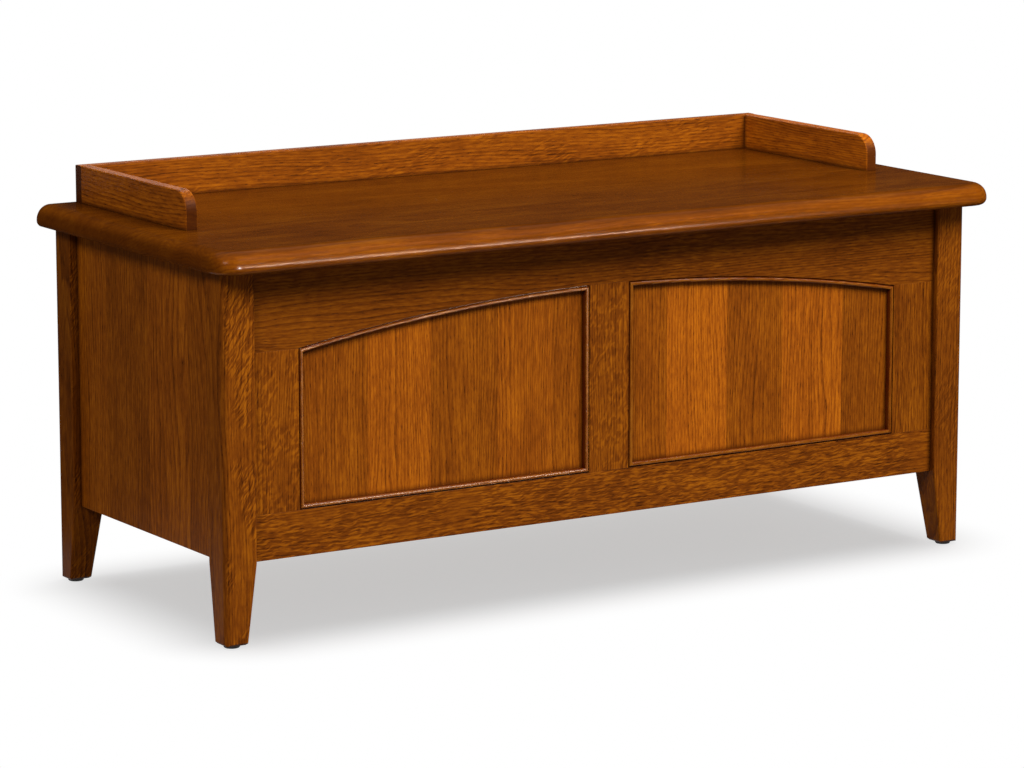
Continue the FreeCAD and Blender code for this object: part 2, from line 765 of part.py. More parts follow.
def make_cleat(label, low_x, high_x, low_y, high_y):
    """A plain square strip inside the box that carries the floor."""
    cleat = document.addObject("Part::Box", label)
    cleat.Label = label
    bind(cleat, "Length", high_x - low_x)
    bind(cleat, "Width", high_y - low_y)
    bind(cleat, "Height", sizes.cleat_section)
    place(cleat, low_x, low_y, sizes.leg_height)
    return cleat


def make_cleats():
    """Four strips round the inside of the box, along the lower edges of its walls. Those on the ends
    fill the space between the posts."""
    section = sizes.cleat_section
    long_half = side_inner - section
    return [
        make_cleat("floor_cleat_front", -long_half, long_half, frame_rear, frame_rear + section),
        make_cleat("floor_cleat_rear", -long_half, long_half, back_inner - section, back_inner),
        make_cleat("floor_cleat_left", -side_inner, section - side_inner, front_post_inner, rear_post_inner),
        make_cleat("floor_cleat_right", side_inner - section, side_inner, front_post_inner, rear_post_inner),
    ]


def make_chest_floor():
    """The floor board, notched round the four posts and laid on the cleats."""
    body = new_body("chest_floor")
    gap = sizes.floor_fit
    wide = side_inner - gap
    narrow = between_posts - gap
    front = frame_rear + gap
    rear = back_inner - gap
    front_notch = front_post_inner + gap
    rear_notch = rear_post_inner - gap
    outline = Loop([
        (-narrow, front), (narrow, front), (narrow, front_notch), (wide, front_notch),
        (wide, rear_notch), (narrow, rear_notch), (narrow, rear), (-narrow, rear),
        (-narrow, rear_notch), (-wide, rear_notch), (-wide, front_notch), (-narrow, front_notch),
    ])
    add_slab(body, "board", "XY_Plane", [outline], floor_underside, sizes.floor_thickness)
    return body


def make_floor_glide(side, end):
    """A nylon glide under a foot: a disc, turned with its lower edge bevelled."""
    body = new_body(f"floor_glide_{END_NAMES[end]}_{SIDE_NAMES[side]}")
    radius = sizes.glide_diameter / 2
    outline = Loop([
        (Size(0), Size(0)), (radius - sizes.glide_bevel, Size(0)), (radius, sizes.glide_bevel),
        (radius, sizes.glide_height), (Size(0), sizes.glide_height),
    ])
    revolve(body, "disc", outline, "Z_Axis")
    across = side * (half_width - sizes.foot_section / 2)
    deep = carcass_centre + end * (half_depth - sizes.foot_section / 2)
    place(body, across, deep)
    return body


# ---------------------------------------------------------------------------------------------------
# Lid and gallery
# ---------------------------------------------------------------------------------------------------

def make_lid_top():
    """The lid board: rounded front corners, a large round over the top edge, a small one below."""
    body = new_body("lid_top")
    outline = rectangle(-lid_half_length, lid_half_length, lid_front, rear_face)
    add_slab(body, "board", "XY_Plane", [outline], sizes.lid_height, sizes.lid_thickness)
    round_edges(body, "corners", sizes.lid_corner_radius,
                lambda edge: lies_at(edge, y=lid_front) and edge.BoundBox.XLength < SAME_PLACE)
    round_edges(body, "top_round", sizes.lid_top_radius,
                lambda edge: lies_at(edge, z=lid_top) and not lies_at(edge, y=rear_face))
    round_edges(body, "bottom_round", sizes.lid_bottom_radius,
                lambda edge: lies_at(edge, z=sizes.lid_height) and not lies_at(edge, y=rear_face))
    cut_slab(body, "leaf_mortises", "XY_Plane", leaf_mortises(), sizes.lid_height,
             sizes.leaf_thickness + fit)
    holes = leaf_screw_rings(hinge_centres) + lid_bracket_rings(LEFT) + lid_bracket_rings(RIGHT)
    cut_slab(body, "screw_holes", "XY_Plane", holes, sizes.lid_height, screw_hole_depth)
    return body


def make_gallery_back():
    """The gallery's long rail, along the rear edge of the lid."""
    body = new_body("gallery_back")
    outline = rectangle(-gallery_outer, gallery_outer, lid_top, gallery_top)
    add_slab(body, "rail", "XZ_Plane", [outline], gallery_back_inner, sizes.gallery_thickness)
    round_edges(body, "eased_edges", sizes.gallery_edge_radius,
                lambda edge: lies_at(edge, z=gallery_top) and edge.BoundBox.YLength < SAME_PLACE)
    return body


def make_gallery_return(side):
    """A return along one end of the lid, rounded down to the lid at its front."""
    body = new_body(f"gallery_{SIDE_NAMES[side]}")
    half_thickness = sizes.gallery_thickness / 2
    outline = rectangle(gallery_front, gallery_back_inner, lid_top, gallery_top)
    add_slab(body, "rail", "YZ_Plane", [outline], -half_thickness, sizes.gallery_thickness)
    round_edges(body, "corner", sizes.gallery_corner_radius,
                lambda edge: lies_at(edge, y=gallery_front, z=gallery_top))
    round_edges(body, "eased_edges", sizes.gallery_edge_radius, lambda edge: (
        edge.BoundBox.XLength < SAME_PLACE and not lies_at(edge, z=lid_top)
        and not lies_at(edge, y=gallery_back_inner)))
    place(body, side * (gallery_outer - half_thickness))
    return body


# ---------------------------------------------------------------------------------------------------
# Hinges
# ---------------------------------------------------------------------------------------------------

def leaf_screw_rings(centres):
    """The screw holes of the leaves whose middles are given."""
    return [
        Ring(centre + offset, leaf_hole_line, screw_hole_diameter)
        for centre in centres for offset in leaf_hole_offsets
    ]


def leaf_mortises():
    """The shallow beds that the leaves are let into, open at the rear."""
    half = sizes.hinge_length / 2 + fit
    return [
        rectangle(centre - half, centre + half, leaf_inner_edge - fit, rear_face)
        for centre in hinge_centres
    ]


def knuckle_ends(centre, index):
    """Where a knuckle begins and ends along the barrel: half a gap is left beside each neighbour."""
    low = centre - sizes.hinge_length / 2 + knuckle_length * index
    high = low + knuckle_length
    if index > 0:
        low = low + sizes.knuckle_gap / 2
    if index < KNUCKLE_COUNT - 1:
        high = high - sizes.knuckle_gap / 2
    return low, high


def leaf_outline(centre, owned):
    """A leaf whose rear edge is a comb: it reaches the pin's axis at its own knuckles and stops short
    of the others."""
    left_end = centre - sizes.hinge_length / 2
    right_end = centre + sizes.hinge_length / 2
    corners = [(right_end, leaf_inner_edge), (left_end, leaf_inner_edge)]
    if 0 not in owned:
        corners.append((left_end, rear_face))
    for index in owned:
        low, high = knuckle_ends(centre, index)
        corners += [(low, rear_face), (low, hinge_axis_y), (high, hinge_axis_y), (high, rear_face)]
    if KNUCKLE_COUNT - 1 not in owned:
        corners.append((right_end, rear_face))
    return Loop(corners)


def make_hinge_leaf(label, centre, owned, underside, holes_face_up):
    """A leaf with its own knuckles, bored for the pin and countersunk for three screws."""
    body = new_body(label)
    add_slab(body, "plate", "XY_Plane", [leaf_outline(centre, owned)], underside, sizes.leaf_thickness)
    barrel = Ring(hinge_axis_y, hinge_axis_z, sizes.barrel_diameter)
    for index in owned:
        low, high = knuckle_ends(centre, index)
        add_slab(body, f"knuckle_{index}", "YZ_Plane", [barrel], low, high - low)
    bore = Ring(hinge_axis_y, hinge_axis_z, bore_diameter)
    cut_slab(body, "bore", "YZ_Plane", [bore], centre - sizes.hinge_length / 2, sizes.hinge_length)
    face = underside + sizes.leaf_thickness if holes_face_up else underside
    document.recompute()
    hole = body.newObject("PartDesign::Hole", f"{body.Name}_screw_holes")
    hole.Profile = new_sketch(body, "screw_holes", "XY_Plane", leaf_screw_rings([centre]), face)
    hole.Reversed = not holes_face_up
    hole.ThreadType = "None"
    hole.HoleCutType = "Countersink"
    hole.HoleCutCustomValues = True
    hole.DepthType = "ThroughAll"
    bind(hole, "Diameter", screw_hole_diameter)
    bind(hole, "HoleCutDiameter", sizes.screw_head_diameter + 2 * fit)
    hole.HoleCutCountersinkAngle = COUNTERSINK_ANGLE
    body.Tip = hole
    return body


def make_hinge_pin(label, centre):
    """A pin with a button head at each end of the barrel, turned about the hinge axis."""
    body = new_body(label)
    half = sizes.hinge_length / 2
    end = half + sizes.pin_head_length
    pin_radius = sizes.pin_diameter / 2
    head_radius = sizes.pin_head_diameter / 2
    head_gap = half + sizes.knuckle_gap / 2
    outline = Loop([
        (-end, Size(0)), (end, Size(0)), (end, head_radius), (head_gap, head_radius),
        (head_gap, pin_radius), (-head_gap, pin_radius), (-head_gap, head_radius), (-end, head_radius),
    ])
    revolve(body, "turning", outline, "X_Axis")
    place(body, centre, hinge_axis_y, hinge_axis_z)
    return body


def make_hinges():
    """The butt hinges, each with a leaf on the back rail, a leaf on the lid and a pin, and their screws."""
    pieces = []
    box_knuckles = range(0, KNUCKLE_COUNT, 2)
    lid_knuckles = range(1, KNUCKLE_COUNT, 2)
    for name, centre in zip(HINGE_NAMES, hinge_centres):
        pieces.append(make_hinge_leaf(
            f"hinge_box_leaf_{name}", centre, box_knuckles, carcass_top - sizes.leaf_thickness, True))
        pieces.append(make_hinge_leaf(
            f"hinge_lid_leaf_{name}", centre, lid_knuckles, sizes.lid_height, False))
        pieces.append(make_hinge_pin(f"hinge_pin_{name}", centre))
    pieces.append(make_leaf_screws("hinge_box_screws", carcass_top, -1))
    pieces.append(make_leaf_screws("hinge_lid_screws", sizes.lid_height, 1))
    return pieces


def make_leaf_screws(label, face, direction):
    """The countersunk screws of all leaves on one side of the hinges, as separate solids. Each is
    turned about an upright axis: its head is flush with the leaf's face."""
    body = new_body(label, several_solids=True)
    head_radius = sizes.screw_head_diameter / 2
    shank_radius = sizes.screw_diameter / 2
    outline = Loop([
        (Size(0), Size(0)), (head_radius, Size(0)),
        (shank_radius, direction * sizes.screw_head_depth),
        (shank_radius, direction * sizes.screw_length), (Size(0), direction * sizes.screw_length),
    ])
    screw = revolve(body, "screw", outline, "Z_Axis")
    repeat_along(body, "rows", screw, "X_Axis", (
        (LEAF_HOLE_COUNT, sizes.leaf_hole_spacing), (HINGE_COUNT, hinge_spacing)))
    place(body, hinge_centres[0] + leaf_hole_offsets[0], leaf_hole_line, face)
    return body


# ---------------------------------------------------------------------------------------------------
# Lid supports
# ---------------------------------------------------------------------------------------------------

def place_support(body, side, pivot_y, pivot_z):
    """Stands a support's own +Z along the line from the box pivot to the lid pivot, lid shut."""
    body.Placement = FreeCAD.Placement(
        FreeCAD.Vector(0, 0, 0), FreeCAD.Rotation(FreeCAD.Vector(1, 0, 0), number(support_tilt)))
    place(body, side * support_plane, pivot_y, pivot_z)
    bind(body, "Placement.Rotation.Angle", support_tilt)


def add_eye(body, direction):
    """The flat eye round the pivot and the neck that joins it to the tube or the rod."""
    bore = sizes.stud_diameter + 2 * sizes.eye_play
    half = sizes.eye_thickness / 2
    neck = sizes.eye_neck_length
    neck_low = Size(0) if direction > 0 else -neck
    add_slab(body, "neck", "XY_Plane", [Ring(Size(0), Size(0), sizes.eye_neck_diameter)], neck_low, neck)
    add_slab(body, "eye", "YZ_Plane", [Ring(Size(0), Size(0), sizes.eye_diameter)],
             -half, sizes.eye_thickness)
    widest = sizes.eye_diameter
    cheek = rectangle(-widest / 2, widest / 2, -widest / 2, widest / 2)
    for name, start in (("cheek_left", -half - widest), ("cheek_right", half)):
        cut_slab(body, name, "YZ_Plane", [cheek], start, widest)
    cut_slab(body, "eye_bore", "YZ_Plane", [Ring(Size(0), Size(0), bore)], -half, sizes.eye_thickness)


def make_support_tube(side):
    """The cylinder of a lid support: closed below, with a guide bush round the rod at its mouth."""
    body = new_body(f"support_tube_{SIDE_NAMES[side]}")
    start = sizes.eye_neck_length
    end = start + tube_length
    add_eye(body, 1)
    tube_radius = sizes.tube_diameter / 2
    bore_radius = sizes.tube_bore / 2
    mouth_radius = sizes.rod_diameter / 2 + sizes.rod_fit
    wall = Loop([
        (Size(0), start), (tube_radius, start), (tube_radius, end), (mouth_radius, end),
        (mouth_radius, end - sizes.tube_wall), (bore_radius, end - sizes.tube_wall),
        (bore_radius, start + sizes.tube_wall), (Size(0), start + sizes.tube_wall),
    ])
    revolve(body, "wall", wall, "Z_Axis")
    place_support(body, side, box_pivot_y, box_pivot_z)
    return body


def make_support_rod(side):
    """The rod of a lid support with the piston at its lower end."""
    body = new_body(f"support_rod_{SIDE_NAMES[side]}")
    add_eye(body, -1)
    rod_radius = sizes.rod_diameter / 2
    piston_radius = sizes.tube_bore / 2 - sizes.rod_fit
    start = -sizes.eye_neck_length
    end = -rod_reach
    piston_top = end + sizes.piston_length
    outline = Loop([
        (Size(0), start), (rod_radius, start), (rod_radius, piston_top), (piston_radius, piston_top),
        (piston_radius, end), (Size(0), end),
    ])
    revolve(body, "rod", outline, "Z_Axis")
    place_support(body, side, lid_pivot_y, lid_pivot_z)
    return body


def add_stud(body, side, pivot_y, pivot_z):
    """A shouldered stud: collar, bearing for the eye and a head that keeps the eye on."""
    collar_end = bracket_face - sizes.stud_collar_length
    bearing_end = collar_end - sizes.eye_thickness - 2 * sizes.eye_play
    head_end = bearing_end - sizes.stud_head_length
    steps = (
        ("collar", bracket_face, collar_end, sizes.stud_collar_diameter),
        ("bearing", collar_end, bearing_end, sizes.stud_diameter),
        ("head", bearing_end, head_end, sizes.stud_collar_diameter),
    )
    for name, far, near, diameter in steps:
        start = near if side == RIGHT else -far
        add_slab(body, name, "YZ_Plane", [Ring(pivot_y, pivot_z, diameter)], start, far - near)


def box_bracket_rings():
    """The screw holes of a box bracket, alike in its plate and in the post behind it."""
    return [Ring(box_pivot_y, box_pivot_z + offset, screw_hole_diameter) for offset in bracket_hole_offsets]


def make_box_bracket(side):
    """The plate and stud that hold a support's tube to the inner face of a rear post."""
    body = new_body(f"support_box_bracket_{SIDE_NAMES[side]}")
    plate = rectangle(
        box_pivot_y - sizes.bracket_width / 2, box_pivot_y + sizes.bracket_width / 2,
        box_pivot_z - sizes.bracket_length / 2, box_pivot_z + sizes.bracket_length / 2)
    start = bracket_face if side == RIGHT else -between_posts
    add_slab(body, "plate", "YZ_Plane", [plate], start, sizes.bracket_thickness)
    cut_slab(body, "screw_holes", "YZ_Plane", box_bracket_rings(), start, sizes.bracket_thickness)
    add_stud(body, side, box_pivot_y, box_pivot_z)
    return body


def lid_bracket_rings(side):
    """The screw holes of a lid bracket, alike in its flange and in the lid above it."""
    return [
        Ring(side * lid_bracket_hole_line, lid_pivot_y + offset, screw_hole_diameter)
        for offset in bracket_hole_offsets
    ]


def make_lid_bracket(side):
    """An angle bracket under the lid: a flange on the board and a hanging tab that carries the stud."""
    body = new_body(f"support_lid_bracket_{SIDE_NAMES[side]}")
    outer = side * between_posts
    tab_face = side * bracket_face
    flange_end = side * (bracket_face - sizes.bracket_width)
    flange_underside = sizes.lid_height - sizes.bracket_thickness
    tab_bottom = lid_pivot_z - sizes.stud_collar_diameter / 2 - sizes.bracket_thickness
    profile = Loop([
        (outer, tab_bottom), (tab_face, tab_bottom), (tab_face, flange_underside),
        (flange_end, flange_underside), (flange_end, sizes.lid_height), (outer, sizes.lid_height),
    ])
    low_y = lid_pivot_y - sizes.bracket_length / 2
    add_slab(body, "angle", "XZ_Plane", [profile], low_y, sizes.bracket_length)
    cut_slab(body, "screw_holes", "XY_Plane", lid_bracket_rings(side), flange_underside,
             sizes.bracket_thickness)
    add_stud(body, side, lid_pivot_y, lid_pivot_z)
    return body


def make_bracket_screws(label, axis, direction, row_axis, seat):
    """The pan-head screws of a bracket, as separate solids. Each is turned about an axis, with its
    head's seat at zero and its shank along direction. The row starts at seat."""
    body = new_body(label, several_solids=True)
    head_radius = sizes.pan_head_diameter / 2
    shank_radius = sizes.screw_diameter / 2
    head_top = -direction * sizes.pan_head_height
    tip = direction * sizes.screw_length
    section = [
        (head_top, Size(0)), (head_top, head_radius), (Size(0), head_radius),
        (Size(0), shank_radius), (tip, shank_radius), (tip, Size(0)),
    ]
    corners = section if axis == "X_Axis" else [(radius, along) for along, radius in section]
    screw = revolve(body, "screw", Loop(corners), axis)
    repeat_along(body, "row", screw, row_axis, [(BRACKET_HOLE_COUNT, sizes.bracket_hole_spacing)])
    place(body, *seat)
    return body


def make_supports():
    """Both lid supports with their brackets and screws."""
    pieces = []
    for side in (LEFT, RIGHT):
        pieces += [make_support_tube(side), make_support_rod(side)]
        pieces += [make_box_bracket(side), make_lid_bracket(side)]
        pieces.append(make_bracket_screws(
            f"support_box_screws_{SIDE_NAMES[side]}", "X_Axis", side, "Z_Axis",
            (side * bracket_face, box_pivot_y, box_pivot_z + bracket_hole_offsets[0])))
        pieces.append(make_bracket_screws(
            f"support_lid_screws_{SIDE_NAMES[side]}", "Z_Axis", 1, "Y_Axis",
            (side * lid_bracket_hole_line, lid_pivot_y + bracket_hole_offsets[0],
             sizes.lid_height - sizes.bracket_thickness)))
    return pieces


# ---------------------------------------------------------------------------------------------------
# Assembly, checks and export
# ---------------------------------------------------------------------------------------------------

def drill_rear_post(post, side):
    """Cuts the screw holes of a box bracket into the inner face of a rear post."""
    start = between_posts if side == RIGHT else -between_posts - screw_hole_depth
    cut_slab(post, "screw_holes", "YZ_Plane", box_bracket_rings(), start, screw_hole_depth)


def make_carcass():
    """Everything of the box but the hinges and the supports."""
    front_posts = [make_post(side, FRONT) for side in (LEFT, RIGHT)]
    rear_posts = [make_post(side, REAR) for side in (LEFT, RIGHT)]
    for post, side in zip(rear_posts, (LEFT, RIGHT)):
        drill_rear_post(post, side)
    pieces = front_posts + rear_posts
    pieces += [make_floor_glide(side, end) for end in (FRONT, REAR) for side in (LEFT, RIGHT)]
    pieces += [make_front_top_rail(), make_front_bottom_rail(), make_front_centre_stile()]
    for side in (LEFT, RIGHT):
        pieces += [make_front_stile(side), make_front_panel(side), make_side_panel(side)]
    right_bead = make_bead_moulding()
    pieces += [right_bead, make_mirror_image("bead_moulding_left", right_bead)]
    pieces += [make_back_top_rail(), make_back_bottom_rail(), make_back_panel()]
    pieces += make_cleats()
    pieces.append(make_chest_floor())
    return pieces


def make_lid():
    """The lid board and the gallery on it."""
    return [make_lid_top(), make_gallery_back(), make_gallery_return(LEFT), make_gallery_return(RIGHT)]


def check_features():
    """Stops on a failed object, and on a cut that took nothing away or a pad that added nothing."""
    failed = [item.Label for item in document.Objects if {"Invalid", "Error"} & set(item.State)]
    if failed:
        raise RuntimeError(f"failed: {failed}")
    for item in document.Objects:
        base = getattr(item, "BaseFeature", None)
        if base is None or item.TypeId == "PartDesign::Body":
            continue
        change = item.Shape.Volume - base.Shape.Volume
        if item.TypeId in ("PartDesign::Pocket", "PartDesign::Hole", "PartDesign::Groove") and change >= 0:
            raise RuntimeError(f"{item.Label} cuts nothing")
        if item.TypeId in ("PartDesign::Pad", "PartDesign::Revolution") and change <= 0:
            raise RuntimeError(f"{item.Label} adds nothing")


def export_pieces(pieces):
    """Writes each piece to parts, once all of them have a valid shape."""
    os.makedirs("parts", exist_ok=True)
    for piece in pieces:
        if piece.Shape.isNull() or not piece.Shape.isValid():
            raise RuntimeError(f"{piece.Label} has no valid shape")
    for piece in pieces:
        piece.Shape.exportStep(f"parts/{piece.Label}.step")
        print(f"{piece.Label}: {len(piece.Shape.Solids)} solid(s), {piece.Shape.Volume:.0f} mm3")


def main():
    """Builds every piece, checks it and writes it to its own file."""
    pieces = make_carcass() + make_lid() + make_hinges() + make_supports()
    document.recompute()
    check_features()
    export_pieces(pieces)


main()
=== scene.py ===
import json
import logging
import math
from collections.abc import Mapping, Sequence
from dataclasses import dataclass, replace
from enum import Enum
from functools import partial

import bpy
import numpy as np
from bpy.types import Material, Node, NodeSocket, NodeTree, Object
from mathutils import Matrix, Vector

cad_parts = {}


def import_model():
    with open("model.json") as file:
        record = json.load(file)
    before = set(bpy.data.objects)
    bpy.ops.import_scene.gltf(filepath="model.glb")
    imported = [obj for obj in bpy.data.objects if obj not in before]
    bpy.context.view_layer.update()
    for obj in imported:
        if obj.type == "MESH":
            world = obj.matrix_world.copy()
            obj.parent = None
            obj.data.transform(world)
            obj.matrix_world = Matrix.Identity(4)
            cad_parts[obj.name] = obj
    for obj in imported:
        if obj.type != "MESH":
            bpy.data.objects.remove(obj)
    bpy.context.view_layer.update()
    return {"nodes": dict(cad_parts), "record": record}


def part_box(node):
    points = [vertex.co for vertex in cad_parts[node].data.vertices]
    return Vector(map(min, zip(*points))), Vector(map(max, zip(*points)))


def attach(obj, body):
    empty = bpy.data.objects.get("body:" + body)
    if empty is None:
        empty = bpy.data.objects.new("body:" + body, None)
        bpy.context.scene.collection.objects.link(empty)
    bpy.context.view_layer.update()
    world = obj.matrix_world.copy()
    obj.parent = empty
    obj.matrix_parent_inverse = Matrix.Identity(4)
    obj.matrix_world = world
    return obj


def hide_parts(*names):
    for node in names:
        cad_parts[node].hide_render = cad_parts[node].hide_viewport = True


# Blanket chest: the finishes, screws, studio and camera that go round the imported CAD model.
# Everything is in metres in the model's own frame: X along the chest, -Y the front, +Z up.
# Finishes are described in millimetres, because that is how wood is measured.

log = logging.getLogger("blanket_chest")

MM = 0.001


def linear(hex_code: str) -> tuple[float, float, float, float]:
    """Turns an sRGB colour to the linear values that shaders work in.

    Args:
        hex_code: the colour as "#rrggbb".

    Returns:
        Red, green, blue and an alpha of 1, by the sRGB transfer curve.
    """
    srgb = np.array([int(hex_code[i:i + 2], 16) for i in (1, 3, 5)]) / 255
    rgb = np.where(srgb <= 0.04045, srgb / 12.92, ((srgb + 0.055) / 1.055) ** 2.4)
    return (*rgb.tolist(), 1.0)


def grey(value: float) -> tuple[float, float, float, float]:
    """A grey with an alpha of 1, in linear values."""
    return (value, value, value, 1.0)


def span(values: Sequence[float]) -> dict[str, float]:
    """A range as the two From inputs of a Map Range node."""
    return {"From Min": values[0], "From Max": values[1]}


def wire(tree: NodeTree, kind: str, inputs: Mapping[str | int, object] | None = None,
         **settings: object) -> Node:
    """Adds a shader node with its settings and links.

    Args:
        tree: the node tree that gets the node.
        kind: the node's type without its ShaderNode prefix.
        inputs: per input socket a value, another node's socket, or a node, whose first live output is
            then linked.
        settings: properties of the node itself.

    Returns:
        The new node.
    """
    node = tree.nodes.new("ShaderNode" + kind)
    for name, value in settings.items():
        setattr(node, name, value)
    for name, value in (inputs or {}).items():
        if isinstance(value, Node):
            value = next(output for output in value.outputs if output.enabled)
        if isinstance(value, NodeSocket):
            tree.links.new(value, node.inputs[name])
        else:
            node.inputs[name].default_value = value
    return node


def fill_ramp(node: Node, stops: Sequence[tuple[float, Sequence[float]]],
              interpolation: str = "LINEAR") -> Node:
    """Gives a colour ramp its stops.

    Args:
        node: the colour ramp node.
        stops: position and linear colour of each stop, in rising order.
        interpolation: how the ramp runs between stops.

    Returns:
        The same node.
    """
    ramp = node.color_ramp
    ramp.interpolation = interpolation
    while len(ramp.elements) < len(stops):
        ramp.elements.new(1.0)
    for element, (position, colour) in zip(ramp.elements, stops):
        element.position = position
        element.color = colour
    return node


def new_material(name: str) -> tuple[Material, partial]:
    """Starts an empty node material.

    Args:
        name: the material's name.

    Returns:
        The material, and wire() bound to its node tree.
    """
    material = bpy.data.materials.new(name)
    material.use_nodes = True
    material.node_tree.nodes.clear()
    return material, partial(wire, material.node_tree)


def mesh_object(name: str, vertices: np.ndarray, faces: np.ndarray | list, smooth: bool = True) -> Object:
    """Makes an object at the origin from arrays of vertices and faces.

    Args:
        name: name of the object and of its mesh.
        vertices: places in metres, one row each.
        faces: vertex numbers, one row per face.
        smooth: whether the faces are shaded smooth.

    Returns:
        The new object, linked into the scene.
    """
    mesh = bpy.data.meshes.new(name)
    mesh.from_pydata(np.asarray(vertices).tolist(), [], [list(map(int, face)) for face in faces])
    mesh.polygons.foreach_set("use_smooth", np.full(len(mesh.polygons), smooth))
    mesh.update()
    obj = bpy.data.objects.new(name, mesh)
    bpy.context.scene.collection.objects.link(obj)
    return obj


def dress(obj: Object, material: Material) -> None:
    """Puts a material into every material slot of a piece.

    Args:
        obj: a CAD node or a new piece.
        material: the finish.
    """
    if not obj.material_slots:
        obj.data.materials.append(material)
    for slot in obj.material_slots:
        slot.material = material


def weigh(add: partial, value: float | Node, *parts: tuple[Node, float]) -> Node:
    """Adds patterns to a value, each times its weight.

    Args:
        add: wire() bound to a node tree.
        value: what the patterns are added to.
        parts: each pattern with its weight.

    Returns:
        The last node of the sum.
    """
    for pattern, weight in parts:
        value = add("Math", {0: pattern, 1: weight, 2: value}, operation="MULTIPLY_ADD")
    return value


# ---- Finishes -----------------------------------------------

# Each pair: where a pattern or a measure is read as none of a thing, and where as all of it.
PORES = (0.58, 0.68)
RIBBONS = (0.40, 0.64)
PATCHES = (0.64, 0.76)  # where fleck covers nothing
FLECKED = (0.55, 0.85)  # how far a face looks along the wood's depth
PAINTED_ROUND_LIGHT = (0.94, 0.60)  # the same
END_GRAIN = (0.60, 0.95)  # how far a face looks along the grain
CORNER_STAIN_AND_SHADE = (0.97, 0.50)  # the light that a corner lets in
OAK_EDGES = (0.99, 0.80)  # the cosine between the rounded normal and the true one
METAL_EDGES = (0.99, 0.85)
CLOUDS = (0.35, 0.68)
SCRATCHES = (0.3, 0.7)

PATCH_SHIFT = 0.3  # by which full coverage lowers PATCHES
NOISE_STEPS = (1.0, 1.7, 0.6)  # how far an offset moves the noise on each axis
# One growth ring, from its start to its end: the open pores rise at once and thin out slowly.
RING_STOPS = ((0.0, 0.0), (0.08, 1.0), (0.30, 0.55), (0.55, 0.12), (1.0, 0.0))
RING_MEAN = 0.28  # how far the rings darken a piece on the whole
FAINTEST_RING = 0.35
LATE_WOOD_PORES = 0.25  # as a share of those in the early wood
STAIN_STOPS = (0.18, 0.5, 0.78)  # where the dark, the middle and the light colour lie
BOARD_SHIFT = (937.0, 211.0, 353.0)  # mm between the grain of two boards, for each unit of tone
BOARD_END = 200.0  # mm from an outer joint to the end of the ramp of tones


class Axis(Enum):
    """An axis of the model's frame, by its place in a vector."""

    X = 0
    Y = 1
    Z = 2


@dataclass(frozen=True)
class Fleck:
    """Ray fleck, the shiny ribbons that wood rays leave on a quarter-sawn face."""

    tilt: float = 12.0  # degrees off the grain
    length: float = 16.0  # mm
    width: float = 2.6  # mm
    strength: float = 0.5
    coverage: float = 0.5  # share of the face, 0 to 1
    patch: float = 70.0  # mm along a patch that has fleck
    patch_shape: float = 0.6  # its width over its length
    warp: float = 9.0  # mm by which the ribbons wander


@dataclass(frozen=True)
class Boards:
    """Boards glued edge to edge: the joints' places across the piece and each board's tone."""

    joints: tuple[float, ...]  # mm in the model's frame, rising
    tones: tuple[float, ...]  # one more than the joints

    def shade(self, add: partial, across: Axis) -> Node:
        """Gives each board its tone, halved, because a ramp holds no more than 1.

        Args:
            add: wire() bound to the material's tree.
            across: the axis along which the boards follow each other.

        Returns:
            The ramp of tones.
        """
        place = add("SeparateXYZ", {0: add("TexCoord").outputs["Object"]}).outputs[across.value]
        low, high = self.joints[0] - BOARD_END, self.joints[-1] + BOARD_END
        share = add("MapRange", {"Value": place, **span((low * MM, high * MM))})
        starts = [0.0] + [(joint - low) / (high - low) for joint in self.joints]
        stops = [(start, grey(tone * 0.5)) for start, tone in zip(starts, self.tones)]
        return fill_ramp(add("ValToRGB", {0: share}), stops, "CONSTANT")


@dataclass(frozen=True)
class HollowStainAndShade:
    """Darkening where a moulding falls away from its crest: stain left thick there, and painted shade in the
    hollow.
    """

    crest: float  # mm in the model's frame, along the wood's depth
    depth: float  # mm below the crest where the darkening is strongest
    strength: float


@dataclass(frozen=True)
class Wood:
    """The wood of one piece, and how it was sawn out of the log.

    The growth rings are cylinders round the pith. Far off to one side the pith leaves straight lines on
    the face (quarter-sawn). Close behind the face it leaves wide arches (flat-sawn).
    """

    along: Axis  # the way the grain runs
    across: Axis  # over the face that shows most
    deep: Axis  # into the piece
    pith: tuple[float, float]  # across and deep, mm in the model's frame
    seed: float
    tone: float = 1.0  # its own lightness
    fleck: Fleck | None = None
    boards: Boards | None = None
    hollow_stain_and_shade: HollowStainAndShade | None = None
    uprights: tuple[float, float] | None = None  # a mitred frame's inner edges of its uprights, mm along


